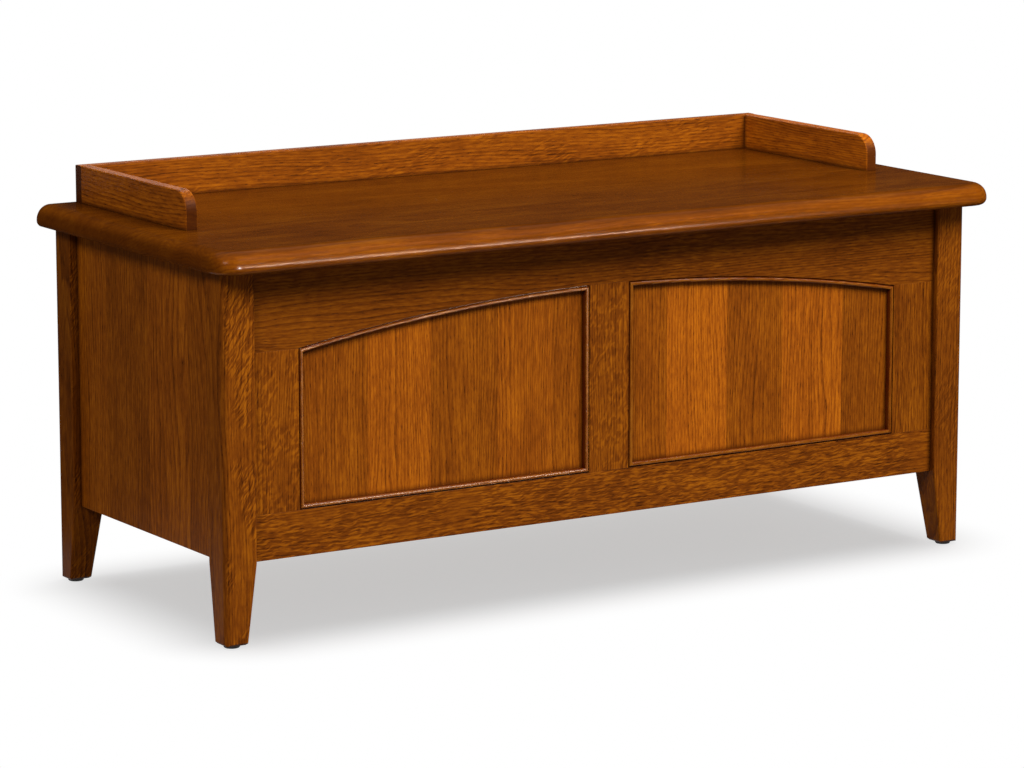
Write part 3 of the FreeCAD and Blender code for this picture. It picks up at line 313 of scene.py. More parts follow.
@dataclass(frozen=True)
class Plank:
    """A piece of wood while its finish is made."""

    add: partial  # wire() bound to the material's tree
    wood: Wood
    grain: Node  # the point along, across and into the piece, in mm
    ends: NodeSocket  # how far the surface looks along the grain, 0 to 1
    face: NodeSocket  # how far it looks along the wood's depth, 0 to 1

    @classmethod
    def sawn(cls, add: partial, wood: Wood, tones: Node | None) -> "Plank":
        """Finds a piece's own directions. Each board of a glued panel has its own grain.

        Args:
            add: wire() bound to the material's tree.
            wood: the piece's wood.
            tones: the tone of each board, if the piece is glued up.

        Returns:
            The piece.
        """
        place = add("VectorMath", {0: add("TexCoord").outputs["Object"], "Scale": 1 / MM},
                    operation="SCALE")
        parts = add("SeparateXYZ", {0: place})
        along, across, deep = (parts.outputs[axis.value] for axis in (wood.along, wood.across, wood.deep))
        point = add("CombineXYZ", {0: along, 1: across, 2: deep})
        if wood.uprights is not None:
            low, high = wood.uprights
            from_middle = add("Math", {0: add("Math", {0: along}, operation="ABSOLUTE"),
                                       1: (low + high) / 2}, operation="SUBTRACT")
            upright = add("Math", {0: add("Math", {0: from_middle}, operation="ABSOLUTE"),
                                   1: (high - low) / 2}, operation="GREATER_THAN")
            turned = add("CombineXYZ", {0: across, 1: along, 2: deep})
            point = add("Mix", {0: upright, 4: point, 5: turned}, data_type="VECTOR")
        if tones is not None:
            shift = add("VectorMath", {0: BOARD_SHIFT, "Scale": tones}, operation="SCALE")
            point = add("VectorMath", {0: point, 1: shift}, operation="ADD")
        normal = add("TexCoord").outputs["Normal"]
        facing = add("SeparateXYZ", {0: add("VectorMath", {0: normal}, operation="ABSOLUTE")})
        return cls(add, wood, point, facing.outputs[wood.along.value], facing.outputs[wood.deep.value])


@dataclass(frozen=True)
class Streak:
    """Noise drawn out along the grain."""

    length: float  # mm along the grain
    width: float  # mm across the grain
    offset: float  # keeps one pattern from lying on another
    detail: float = 1.0  # octaves of the noise

    def draw(self, plank: Plank) -> Node:
        """Adds the noise to a piece.

        Args:
            plank: the piece.

        Returns:
            The noise node, with values about 0.5.
        """
        place = plank.wood.seed + self.offset
        point = plank.add("VectorMath", {0: plank.grain, 1: (1 / self.length, 1 / self.width, 1 / self.width),
                                         2: tuple(place * step for step in NOISE_STEPS)},
                          operation="MULTIPLY_ADD")
        return plank.add("TexNoise", {"Vector": point, "Scale": 1.0, "Detail": self.detail,
                                      "Roughness": 0.55})


@dataclass(frozen=True)
class Figure:
    """The patterns of one piece of wood that its colour, its sheen and its relief share."""

    value: Node  # lightness, from 0 in the darkest pores to 1 in the palest wood
    fibre: Node
    coarse: Node
    mottle: Node
    pit: Node  # 1 inside a pore


def worn_edges(add: partial, radius: float, reach: tuple[float, float], amount: float) -> tuple[Node, Node]:
    """Finds the edges of a piece by how far a rounded normal turns away from the true one.

    Args:
        add: wire() bound to the material's tree.
        radius: how far the edges are rounded for the eye, in mm.
        reach: the cosines at which wear begins and is full.
        amount: how far a full edge is worn, 0 to 1.

    Returns:
        The rounded normal, and how worn the place is.
    """
    soft = add("Bevel", {"Radius": radius * MM}, samples=4)
    edge = add("VectorMath", {0: soft, 1: add("NewGeometry").outputs["Normal"]}, operation="DOT_PRODUCT")
    return soft, add("MapRange", {"Value": edge.outputs["Value"], **span(reach), "To Max": amount})


@dataclass(frozen=True)
class Oak:
    """Oak, planed and sanded, then finished.

    Oak is ring-porous: each ring starts with a band of open pores that take up stain and show as dark
    broken lines, and ends in dense pale wood. Its rays show as fleck where the cut runs along them. A
    piece's colour runs from dark in the pores to light in the late wood.
    """

    name: str
    dark: str
    mid: str
    light: str
    ring_spacing: float = 4.2  # mm, slow-grown oak
    ring_contrast: float = 0.24
    fibre_contrast: float = 0.48
    coarse_contrast: float = 0.18
    pore_contrast: float = 0.22
    mottle_contrast: float = 0.28
    fleck_contrast: float = 0.17
    roughness: float = 0.36
    pit_roughness: float = 0.16  # what pores, coarse lines and fibres add to it
    coarse_roughness: float = 0.12
    fibre_roughness: float = 0.10
    specular: float = 0.05
    bump: float = 0.22  # mm from the bottom of a pore to the face
    fibre_relief: float = 0.35  # the height of a fibre over the depth of a pore
    edge_radius: float = 0.9  # mm
    edge_wear: float = 0.18
    end_grain: float = 0.30  # how far end grain goes to the dark colour
    corner_stain_and_shade: float = 0.75  # how far an inner corner darkens: painted shade, with the stain left there
    corner_stain_and_shade_reach: float = 7.0  # mm
    painted_round_light: float = 1.0  # lightness of the rounds over the top, a painted light
    fibre: Streak = Streak(16.0, 2.3, 1.0, 2.0)
    coarse: Streak = Streak(200.0, 7.0, 5.0, 2.0)
    mottle: Streak = Streak(120.0, 46.0, 12.0, 2.0)
    # Real pores are 0.3 mm across: they are drawn 1.1 mm wide, so that they show.
    pores: Streak = Streak(8.0, 1.1, 17.0)
    slow_bend: Streak = Streak(420.0, 70.0, 3.1)
    slow_sway: float = 46.0  # mm by which it moves a ring
    quick_bend: Streak = Streak(90.0, 12.0, 8.7)
    quick_sway: float = 4.0  # mm

    def rings(self, plank: Plank) -> tuple[Node, Node]:
        """The growth rings.

        The distance from the pith, bent by slow noise, is cut into rings by its fraction. A random number
        per ring makes some rings strong and others faint.

        Args:
            plank: the piece.

        Returns:
            The early wood's band, 0 to 1, and the random strength of the ring.
        """
        add, pith = plank.add, plank.wood.pith
        flat = add("VectorMath", {0: plank.grain, 1: (0.0, 1.0, 1.0), 2: (0.0, -pith[0], -pith[1])},
                   operation="MULTIPLY_ADD")
        radius = add("VectorMath", {0: flat}, operation="LENGTH").outputs["Value"]
        bent = weigh(add, radius, (self.slow_bend.draw(plank), self.slow_sway),
                     (self.quick_bend.draw(plank), self.quick_sway))
        count = add("Math", {0: bent, 1: self.ring_spacing}, operation="DIVIDE")
        phase = add("Math", {0: count}, operation="FRACT")
        band = fill_ramp(add("ValToRGB", {0: phase}), [(place, grey(value)) for place, value in RING_STOPS])
        number = add("Math", {0: count}, operation="FLOOR")
        chance = add("TexWhiteNoise", {"W": number}, noise_dimensions="1D")
        return band, add("MapRange", {"Value": chance.outputs["Value"], "To Min": FAINTEST_RING})

    def ray_fleck(self, plank: Plank) -> Node:
        """Ray fleck: noise drawn out along a tilted line, pulled apart into pale ribbons and dark gaps, in
        patches, on one face only.

        Args:
            plank: the piece.

        Returns:
            How pale the fleck makes the wood, from minus its strength to its strength.
        """
        add, fleck = plank.add, plank.wood.fleck
        warp = Streak(26.0, 14.0, 21.0).draw(plank).outputs["Color"]
        shift = add("VectorMath", {0: warp, 1: (fleck.warp, fleck.warp, 0.0), 2: plank.grain},
                    operation="MULTIPLY_ADD")
        turned = add("VectorRotate", {"Vector": shift, "Angle": math.radians(-fleck.tilt)},
                     rotation_type="Z_AXIS")
        ribbon = Streak(fleck.length, fleck.width, 33.0).draw(replace(plank, grain=turned))
        level = add("MapRange", {"Value": ribbon, **span(RIBBONS), "To Min": -1.0},
                    interpolation_type="SMOOTHSTEP")
        patch = Streak(fleck.patch, fleck.patch * fleck.patch_shape, 45.0).draw(plank)
        reach = tuple(value - PATCH_SHIFT * fleck.coverage for value in PATCHES)
        spread = add("MapRange", {"Value": patch, **span(reach), "To Max": fleck.strength},
                     interpolation_type="SMOOTHSTEP")
        faced = add("MapRange", {"Value": plank.face, **span(FLECKED)})
        mask = add("Math", {0: level, 1: spread}, operation="MULTIPLY")
        return add("Math", {0: mask, 1: faced}, operation="MULTIPLY")

    def figure(self, plank: Plank) -> Figure:
        """Adds up the patterns of the wood, each by its own contrast about a mean of 0.5.

        Args:
            plank: the piece.

        Returns:
            The lightness and the patterns in it.
        """
        add = plank.add
        band, strength = self.rings(plank)
        fibre, coarse, mottle, pores = (streak.draw(plank) for streak in
                                        (self.fibre, self.coarse, self.mottle, self.pores))
        pit = add("MapRange", {"Value": pores, **span(PORES)})
        porous = weigh(add, LATE_WOOD_PORES, (band, 1 - LATE_WOOD_PORES))
        pit = add("Math", {0: pit, 1: porous}, operation="MULTIPLY")
        ring = add("Math", {0: band, 1: strength}, operation="MULTIPLY")
        # Noise lies about 0.5, so half of each of its contrasts is taken off again.
        noise = self.fibre_contrast + self.coarse_contrast + self.mottle_contrast
        value = weigh(add, 0.5 - noise / 2 + RING_MEAN * self.ring_contrast, (fibre, self.fibre_contrast),
                      (coarse, self.coarse_contrast), (mottle, self.mottle_contrast),
                      (ring, -self.ring_contrast), (pit, -self.pore_contrast))
        if plank.wood.fleck is not None:
            value = weigh(add, value, (self.ray_fleck(plank), self.fleck_contrast))
        return Figure(value, fibre, coarse, mottle, pit)

    def stain(self, plank: Plank, figure: Figure, worn: Node) -> Node:
        """Colours the wood by its figure, by its edges, and by painted shade and gathered stain in its
        corners and hollows.

        Args:
            plank: the piece.
            figure: the patterns of its wood.
            worn: how worn its edges are.

        Returns:
            The colour.
        """
        add, hollow_stain_and_shade = plank.add, plank.wood.hollow_stain_and_shade
        stops = zip(STAIN_STOPS, (linear(self.dark), linear(self.mid), linear(self.light)))
        colour = fill_ramp(add("ValToRGB", {0: figure.value}), list(stops))
        # End grain drinks more stain than the face.
        drunk = add("MapRange", {"Value": plank.ends, **span(END_GRAIN), "To Max": self.end_grain})
        # Handling and sanding leave the edges paler, here more and there less.
        rubbed = add("Math", {0: worn, 1: figure.mottle}, operation="MULTIPLY")
        # Painted shade: inner corners go darker the less light reaches them, which also stands for stain
        # never quite wiped out of them.
        corner_occlusion = add("AmbientOcclusion", {"Distance": self.corner_stain_and_shade_reach * MM}, samples=8)
        corner_darkening = add("MapRange", {"Value": corner_occlusion.outputs["AO"], **span(CORNER_STAIN_AND_SHADE), "To Max": self.corner_stain_and_shade})
        tints = [(drunk, self.dark), (rubbed, self.light), (corner_darkening, self.dark)]
        # Painted shade, with the stain left there: a moulding darkens as it falls away from its crest.
        if hollow_stain_and_shade is not None:
            place = add("SeparateXYZ", {0: add("TexCoord").outputs["Object"]}).outputs[plank.wood.deep.value]
            reach = (hollow_stain_and_shade.crest * MM, (hollow_stain_and_shade.crest + hollow_stain_and_shade.depth) * MM)
            hollow_darkening = add("MapRange", {"Value": place, **span(reach), "To Max": hollow_stain_and_shade.strength},
                        interpolation_type="SMOOTHSTEP")
            tints.append((hollow_darkening, self.dark))
        for share, tint in tints:
            colour = add("Mix", {0: share, 6: colour, 7: linear(tint)}, data_type="RGBA")
        return colour

    def material(self, piece: str, wood: Wood) -> Material:
        """Makes the finish for one piece.

        Args:
            piece: the piece's name.
            wood: its wood.

        Returns:
            The node material.
        """
        material, add = new_material(f"{self.name}_{piece}")
        tone = wood.tone
        tones = None if wood.boards is None else wood.boards.shade(add, wood.across)
        plank = Plank.sawn(add, wood, tones)
        figure = self.figure(plank)
        soft, worn = worn_edges(add, self.edge_radius, OAK_EDGES, self.edge_wear)
        colour = self.stain(plank, figure, worn)
        if tones is not None:
            colour = add("VectorMath", {0: colour, 1: tones}, operation="MULTIPLY")
            tone *= 2  # the ramp holds half of each tone
        colour = add("VectorMath", {0: colour, "Scale": tone}, operation="SCALE")
        # Painted light: faces that turn away from the wood's depth, such as the rounds, are made lighter.
        if self.painted_round_light != 1.0:
            round_light = add("MapRange", {"Value": plank.face, **span(PAINTED_ROUND_LIGHT), "To Min": 1.0,
                                     "To Max": self.painted_round_light})
            colour = add("VectorMath", {0: colour, "Scale": round_light}, operation="SCALE")
        # Pores stay dull under the finish, and so does the soft wood between the hard lines.
        rough = weigh(add, self.roughness, (figure.pit, self.pit_roughness),
                      (figure.coarse, self.coarse_roughness), (figure.fibre, self.fibre_roughness))
        height = weigh(add, 1.0, (figure.pit, -1.0), (figure.fibre, self.fibre_relief))
        relief = add("Bump", {"Height": height, "Distance": self.bump * MM, "Strength": 0.6, "Normal": soft})
        shader = add("BsdfPrincipled", {"Base Color": colour, "Roughness": rough, "Normal": relief,
                                        "Specular IOR Level": self.specular})
        add("OutputMaterial", {"Surface": shader})
        return material


# Oak under a golden-brown stain and a satin lacquer: amber late wood, brown pores, a low sheen.
STAINED_OAK = Oak("stained_oak", dark="#4a1f03", mid="#8a4509", light="#bb690e")
# The same finish rubbed out on the lid: smoother, with the pores filled, and painted light on its rounds.
LID_OAK = replace(STAINED_OAK, fibre_contrast=0.26, coarse_contrast=0.22, ring_contrast=0.14,
                  pore_contrast=0.10, mottle_contrast=0.36, roughness=0.06, specular=0.035, bump=0.14,
                  painted_round_light=1.6, end_grain=0.6)
# The same finish on a moulding, where rubbing down leaves the crest bare and bright.
BEAD_OAK = replace(STAINED_OAK, dark="#561a04", mid="#93500f", light="#c27a24", roughness=0.10,
                   specular=0.10, edge_wear=0.4, corner_stain_and_shade=0.9)
# The same finish on the gallery, whose end grain shows nearly black.
GALLERY_OAK = replace(STAINED_OAK, dark="#3e1904", end_grain=0.9)
# Oak with only a thin sealing coat, as inside a chest: pale, dry and matt.
SEALED_OAK = Oak("sealed_oak", dark="#7a5330", mid="#a97f50", light="#c9a273", roughness=0.55,
                 specular=0.25, ring_contrast=0.25, edge_wear=0.15)


@dataclass(frozen=True)
class Metal:
    """Sheet or bar metal with fine scratches along its rolling direction and a slightly clouded sheen.

    Moulded plastic has the same marks without the metal.
    """

    name: str
    base: str
    shade: str
    metallic: float = 1.0
    roughness: float = 0.34
    roughness_reach: tuple[float, float] = (-0.06, 0.10)  # by which scratches change it
    scratch: float = 0.03  # mm deep
    scratch_length: float = 14.0  # mm
    scratch_width: float = 0.625  # mm
    cloud: float = 9.0  # mm across
    edge_radius: float = 0.4  # mm
    edge_wear: float = 0.5

    def material(self) -> Material:
        """Makes the finish: clouds of the shade over the base, and scratches in roughness and bump.

        Returns:
            The node material.
        """
        material, add = new_material(self.name)
        place = add("VectorMath", {0: add("TexCoord").outputs["Object"], "Scale": 1 / MM},
                    operation="SCALE")
        cloud = add("TexNoise", {"Vector": place, "Scale": 1 / self.cloud, "Detail": 4.0})
        across = 1 / self.scratch_width
        drawn = add("VectorMath", {0: place, 1: (1 / self.scratch_length, across, across)},
                    operation="MULTIPLY")
        scratch = add("TexNoise", {"Vector": drawn, "Scale": 1.0, "Detail": 2.0})
        mix = add("MapRange", {"Value": cloud, **span(CLOUDS)})
        soft, worn = worn_edges(add, self.edge_radius, METAL_EDGES, self.edge_wear)
        colour = add("Mix", {0: mix, 6: linear(self.base), 7: linear(self.shade)}, data_type="RGBA")
        colour = add("Mix", {0: worn, 6: colour, 7: linear(self.base)}, data_type="RGBA")
        least, most = (self.roughness + step for step in self.roughness_reach)
        rough = add("MapRange", {"Value": scratch, **span(SCRATCHES), "To Min": least, "To Max": most})
        relief = add("Bump", {"Height": scratch, "Distance": self.scratch * MM, "Normal": soft})
        shader = add("BsdfPrincipled", {"Base Color": colour, "Metallic": self.metallic, "Roughness": rough,
                                        "Normal": relief})
        add("OutputMaterial", {"Surface": shader})
        return material


# Antique brass: brass darkened in a bath and rubbed back, bright only on its edges.
ANTIQUE_BRASS = Metal("antique_brass", base="#b48a45", shade="#6b4c22", roughness=0.36)
# Steel under black powder coat: a fine orange peel, and no metal in what the eye sees.
POWDER_COATED_STEEL = Metal("powder_coat", base="#1c1c1d", shade="#131314", metallic=0.0, roughness=0.48,
                            cloud=1.2, scratch=0.05, scratch_length=0.9)
# Bright zinc plate over drawn steel: a cool, even shine with drawing lines.
PLATED_STEEL = Metal("zinc_plate", base="#c9cbcd", shade="#a9adb1", roughness=0.24)
# Moulded nylon: even dark brown, faintly grained by the mould.
MOULDED_NYLON = Metal("moulded_nylon", base="#140e0b", shade="#0d0907", metallic=0.0, roughness=0.52,
                      cloud=2.0, scratch=0.04, scratch_length=1.0)


# ---- The chest's own pieces ---------------------------------

SIDES = {"left": -1, "right": 1}


@dataclass
class Woodwork:
    """Wooden pieces, each with wood of its own."""

    nodes: Mapping[str, Object]

    def put(self, name: str, finish: Oak, wood: Wood) -> None:
        """Dresses one CAD node in its own wood."""
        dress(self.nodes[name], finish.material(name, wood))
        log.info("%s is %s", name, finish.name)


@dataclass
class Carcass(Woodwork):
    """The box: posts, front frame and panels, ends, back and floor."""

    half_width: float = 526.0  # mm, to the outer faces of the posts
    half_depth: float = 213.0  # mm
    post_pith: float = 420.0  # mm beyond a post's outer face
    front_tones: tuple[float, float] = (0.76, 0.68)  # left and right
    front_flecks: tuple[float, float] = (0.85, 0.4)
    rear_tone: float = 0.56
    left_joints: tuple[float, ...] = (-331.0, -246.0, -154.0, -77.0)  # mm across the left panel
    left_tones: tuple[float, ...] = (0.90, 1.17, 0.85, 1.03, 0.90)
    right_joints: tuple[float, ...] = (85.0, 174.0, 258.0, 348.5)
    right_tones: tuple[float, ...] = (0.92, 1.31, 0.89, 1.25, 0.79)
    bead_uprights: tuple[float, float] = (34.5, 417.5)  # mm between the uprights of either moulding
    bead_hollow_stain_and_shade: HollowStainAndShade = HollowStainAndShade(-192.6, 2.0, 0.6)
    end_joints: tuple[float, ...] = (-95.0, 5.0, 110.0)  # mm from front to rear across an end
    end_tones: tuple[float, ...] = (0.94, 1.08, 0.90, 1.02)

    def dress_posts(self) -> None:
        """Posts: quarter-sawn to the front, with fleck in slanting strokes."""
        for number, (side, sign) in enumerate(SIDES.items()):
            fleck = Fleck(tilt=30.0, length=13.0, width=2.1, strength=self.front_flecks[number],
                          coverage=0.75, patch=90.0)
            for end, front, tone in (("front", -1, self.front_tones[number]), ("rear", 1, self.rear_tone)):
                pith = (sign * (self.half_width + self.post_pith), front * self.half_depth)
                seed = 2.0 + number + 0.5 * front
                self.put(f"post_{end}_{side}", STAINED_OAK,
                         Wood(Axis.Z, Axis.X, Axis.Y, pith, seed, tone, fleck))

    def dress_front(self) -> None:
        """Front frame with its two panels of upright boards, and the mouldings round them."""
        wavy = Fleck(tilt=4.0, length=13.0, width=1.9, strength=0.75, coverage=0.95, patch=120.0)
        faint = Fleck(tilt=-3.0, length=22.0, width=2.0, strength=0.4, coverage=0.5, patch=160.0)
        curl = Fleck(tilt=24.0, length=10.0, width=4.4, strength=0.5, coverage=0.95, patch=60.0, warp=16.0)
        # The top rail's lower tone is partly its own and partly painted shade under the lid.
        for name, pith, seed, tone, fleck in (("bottom_rail", (520.0, -150.0), 5.0, 0.75, wavy),
                                              ("top_rail", (800.0, -150.0), 7.0, 0.65, faint),
                                              ("centre_stile", (340.0, -160.0), 9.0, 0.75, curl),
                                              ("stile_left", (-900.0, -160.0), 11.0, 0.77, curl),
                                              ("stile_right", (900.0, -160.0), 13.0, 0.68, faint)):
            along, across = (Axis.X, Axis.Z) if name.endswith("rail") else (Axis.Z, Axis.X)
            self.put(f"front_{name}", STAINED_OAK, Wood(along, across, Axis.Y, pith, seed, tone, fleck))
        for side, seed, boards in (("left", 15.0, Boards(self.left_joints, self.left_tones)),
                                   ("right", 17.0, Boards(self.right_joints, self.right_tones))):
            self.put(f"front_panel_{side}", STAINED_OAK,
                     Wood(Axis.Z, Axis.X, Axis.Y, (SIDES[side] * 700.0, -120.0), seed, boards=boards))
        bead = Wood(Axis.X, Axis.Z, Axis.Y, (520.0, -170.0), 19.0, 0.85, hollow_stain_and_shade=self.bead_hollow_stain_and_shade,
                    uprights=self.bead_uprights)
        for side in SIDES:
            self.put(f"bead_moulding_{side}", BEAD_OAK, bead)

    def dress_ends(self) -> None:
        """Ends: upright boards, flat-sawn enough to show long arches."""
        boards = Boards(self.end_joints, self.end_tones)
        for side, sign in SIDES.items():
            self.put(f"side_panel_{side}", STAINED_OAK,
                     Wood(Axis.Z, Axis.Y, Axis.X, (30.0, sign * 400.0), 21.0 + sign, 0.92, boards=boards))

    def dress_inside(self) -> None:
        """Back, floor and cleats of sealed oak, and the glides."""
        rail = Wood(Axis.X, Axis.Z, Axis.Y, (140.0, 330.0), 31.0, 0.9)
        self.put("back_top_rail", SEALED_OAK, rail)
        self.put("back_bottom_rail", SEALED_OAK, rail)
        self.put("back_panel", SEALED_OAK, Wood(Axis.X, Axis.Z, Axis.Y, (260.0, 300.0), 33.0))
        self.put("chest_floor", SEALED_OAK, Wood(Axis.X, Axis.Y, Axis.Z, (20.0, 20.0), 35.0))
        cleat = SEALED_OAK.material("cleats", Wood(Axis.X, Axis.Y, Axis.Z, (0.0, 0.0), 37.0, 0.85))
        nylon = MOULDED_NYLON.material()
        for name, node in self.nodes.items():
            if name.startswith("floor_cleat"):
                dress(node, cleat)
            elif name.startswith("floor_glide"):
                dress(node, nylon)

    def build(self) -> None:
        """Dresses the whole box."""
        self.dress_posts()
        self.dress_front()
        self.dress_ends()
        self.dress_inside()
        log.info("carcass is dressed")


@dataclass
class Lid(Woodwork):
    """The lid board and the gallery round its back."""

    boards: Boards = Boards((-90.0, 60.0), (1.0, 0.95, 1.03))  # from front to rear

    def build(self) -> None:
        """Dresses the lid and its gallery."""
        # The lid's low tone is partly painted shade on its top; painted light lifts its rounds again.
        self.put("lid_top", LID_OAK,
                 Wood(Axis.X, Axis.Y, Axis.Z, (-60.0, 330.0), 41.0, 0.47, boards=self.boards))
        self.put("gallery_back", GALLERY_OAK,
                 Wood(Axis.X, Axis.Z, Axis.Y, (640.0, 215.0), 43.0, 0.98, Fleck()))
        # The right return's high tone is painted light: it stands for the light that the lid throws back onto
        # its inner face.
        for side, seed, tone in (("left", 45.0, 1.04), ("right", 47.0, 1.45)):
            self.put(f"gallery_{side}", GALLERY_OAK,
                     Wood(Axis.Y, Axis.Z, Axis.X, (640.0, SIDES[side] * 480.0), seed, tone))


@dataclass(frozen=True)
class Head:
    """The head of a screw, in mm. Its seat is where it meets the leaf's face or the bracket."""

    radius: float
    rim: float  # from the seat up to the edge of its face
    edge: float  # the upright part below that edge
    height: float  # from the seat to the top of its dome
    depth: float  # from the seat down to the shank


COUNTERSUNK = Head(radius=3.4, rim=0.0, edge=0.15, height=0.0, depth=1.7)
PAN = Head(radius=3.75, rim=0.6, edge=0.6, height=2.2, depth=0.0)


@dataclass
class Hardware:
    """Hinges, lid supports and the screws that hold them."""

    nodes: Mapping[str, Object]
    slots: Mapping[str, str]  # the material slot of each CAD node
    hinge_screw_pitch: float = 26.0  # mm between the holes of a leaf
    shank_radius: float = 1.7  # mm
    screw_length: float = 16.0  # mm
    tip_length: float = 3.0  # mm
    tip_radius: float = 0.02  # mm
    recess_reach: float = 2.0  # mm from the middle of the head to the end of a slot
    recess_run: float = 0.7  # mm over which a slot rises at its end
    recess_width: float = 0.55  # mm, half a slot
    recess_wall: float = 0.25  # mm over which a slot rises at its side
    recess_depth: float = 1.3  # mm
    segments: int = 48
    face_rings: int = 16
    inner_ring: float = 0.04  # share of the head's radius

    def screw(self, head: Head) -> tuple[np.ndarray, np.ndarray]:
        """One cross-recess screw along +Z with the seat of its head at 0, in mm.

        The face is a polar grid. Its height is a dome's (none on a countersunk head) less the recess,
        which falls off smoothly across each of two crossed slots. The rest is an outline turned round Z.

        Args:
            head: the kind of head.

        Returns:
            Vertices and faces. A triangle repeats its last vertex.
        """
        angle = np.linspace(0, 2 * np.pi, self.segments, endpoint=False)
        share = np.linspace(self.inner_ring, 1.0, self.face_rings)[:, None]
        x, y = head.radius * share * np.cos(angle), head.radius * share * np.sin(angle)
        arch = np.sqrt(np.clip(1 - share ** 2, 0, 1)) * np.ones_like(x)
        dome = head.rim + (head.height - head.rim) * arch
        slot = np.minimum(np.abs(x), np.abs(y))
        reach = np.maximum(np.abs(x), np.abs(y))
        wide = np.clip((self.recess_width - slot) / self.recess_wall + 0.5, 0, 1)
        far = np.clip((self.recess_reach - reach) / self.recess_run, 0, 1)
        face = np.stack([x, y, dome - self.recess_depth * wide * far], -1)
        shank = self.shank_radius
        outline = np.array([(head.radius, head.rim - head.edge), (shank, -head.depth),
                            (shank, self.tip_length - self.screw_length),
                            (self.tip_radius, -self.screw_length)])
        body = np.stack([outline[:, :1] * np.cos(angle), outline[:, :1] * np.sin(angle),
                         outline[:, 1:] * np.ones_like(angle)], -1)
        grid = np.concatenate([face, body])
        rows = len(grid)
        place = np.arange(rows * self.segments).reshape(rows, self.segments)
        after = np.roll(place, -1, axis=1)
        quads = np.stack([place[:-1], place[1:], after[1:], after[:-1]], -1).reshape(-1, 4)
        vertices = np.concatenate([grid.reshape(-1, 3), [face[0].mean(0), body[-1].mean(0)]])
        # A fan round the middle closes either end.
        top, bottom = (np.full_like(place[0], rows * self.segments + end) for end in (0, 1))
        first = np.stack([place[0], after[0], top, top], -1)
        last = np.stack([after[-1], place[-1], bottom, bottom], -1)
        return vertices, np.concatenate([quads, first, last])

    def screws(self, node: str, body: str, head: Head, drive: Axis, sense: int, row: Axis,
               places: Sequence[float], finish: Material) -> None:
        """Replaces a node of screws by a row of cross-recess screws.

        Args:
            node: the CAD node that holds the screws.
            body: the body that they ride on.
            head: the kind of head.
            drive: the axis along which they are driven.
            sense: 1 where the heads look along that axis, -1 where they look against it.
            row: the axis along which they stand in a row.
            places: where they stand on it, in metres.
            finish: their material.
        """
        low, high = (np.array(corner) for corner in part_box(node))
        count = len(places)
        centres = np.array([(low + high) / 2] * count)
        centres[:, row.value] = places
        top = high[drive.value] if sense > 0 else low[drive.value]
        centres[:, drive.value] = top - sense * head.height * MM
        vertices, faces = self.screw(head)
        turned = np.empty_like(vertices)
        turned[:, drive.value] = vertices[:, 2] * sense
        turned[:, (drive.value + 1) % 3] = vertices[:, 0]
        turned[:, (drive.value + 2) % 3] = vertices[:, 1] * sense
        points = (turned[None] * MM + centres[:, None]).reshape(-1, 3)
        numbers = (faces[None] + (np.arange(count) * len(vertices))[:, None, None]).reshape(-1, 4)
        trimmed = [list(dict.fromkeys(face)) for face in numbers.tolist()]
        piece = mesh_object(f"{node}_recessed", points, trimmed, smooth=False)
        dress(piece, finish)
        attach(piece, body)
        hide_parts(node)
        log.info("%s: %d screws", piece.name, count)

    def build(self) -> None:
        """Dresses the metal and makes the screws."""
        brass, black, plated = (metal.material() for metal in
                                (ANTIQUE_BRASS, POWDER_COATED_STEEL, PLATED_STEEL))
        for name, node in self.nodes.items():
            if name.startswith("hinge_"):
                dress(node, brass)
            elif name.startswith("support_tube") or "bracket" in name:
                dress(node, black)
            elif name.startswith("support_"):
                dress(node, plated)
        for end, body, sense in (("box", "chest", 1), ("lid", "lid", -1)):
            leaves = [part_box(f"hinge_{end}_leaf_{place}") for place in ("left", "centre", "right")]
            places = [(low[0] + high[0]) / 2 + step * self.hinge_screw_pitch * MM
                      for low, high in leaves for step in (-1, 0, 1)]
            self.screws(f"hinge_{end}_screws", body, COUNTERSUNK, Axis.Z, sense, Axis.X, places, brass)
        for side, sign in SIDES.items():
            for end, body, drive, sense, row in (("box", "chest", Axis.X, -sign, Axis.Z),
                                                 ("lid", "lid", Axis.Z, -1, Axis.Y)):
                node = f"support_{end}_screws_{side}"
                low, high = (corner[row.value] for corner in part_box(node))
                # The two heads reach the ends of the node's box.
                places = (low + PAN.radius * MM, high - PAN.radius * MM)
                self.screws(node, body, PAN, drive, sense, row, places, plated)


# ---- Studio -------------------------------------------------

def aim(obj: Object, place: Vector, target: Vector) -> None:
    """Puts a lamp or the camera at a place and turns it to look at a target."""
    obj.location = place
    obj.rotation_euler = (target - place).to_track_quat("-Z", "Y").to_euler()


def around(target: Vector, azimuth: float, elevation: float, distance: float) -> Vector:
    """Finds a point round the target.

    Args:
        target: the middle, in metres.
        azimuth: degrees from the front towards the right.
        elevation: degrees up.
        distance: metres from the target.

    Returns:
        The point.
    """
    turn, rise = math.radians(azimuth), math.radians(elevation)
    return target + distance * Vector((math.sin(turn) * math.cos(rise), -math.cos(turn) * math.cos(rise),
                                       math.sin(rise)))


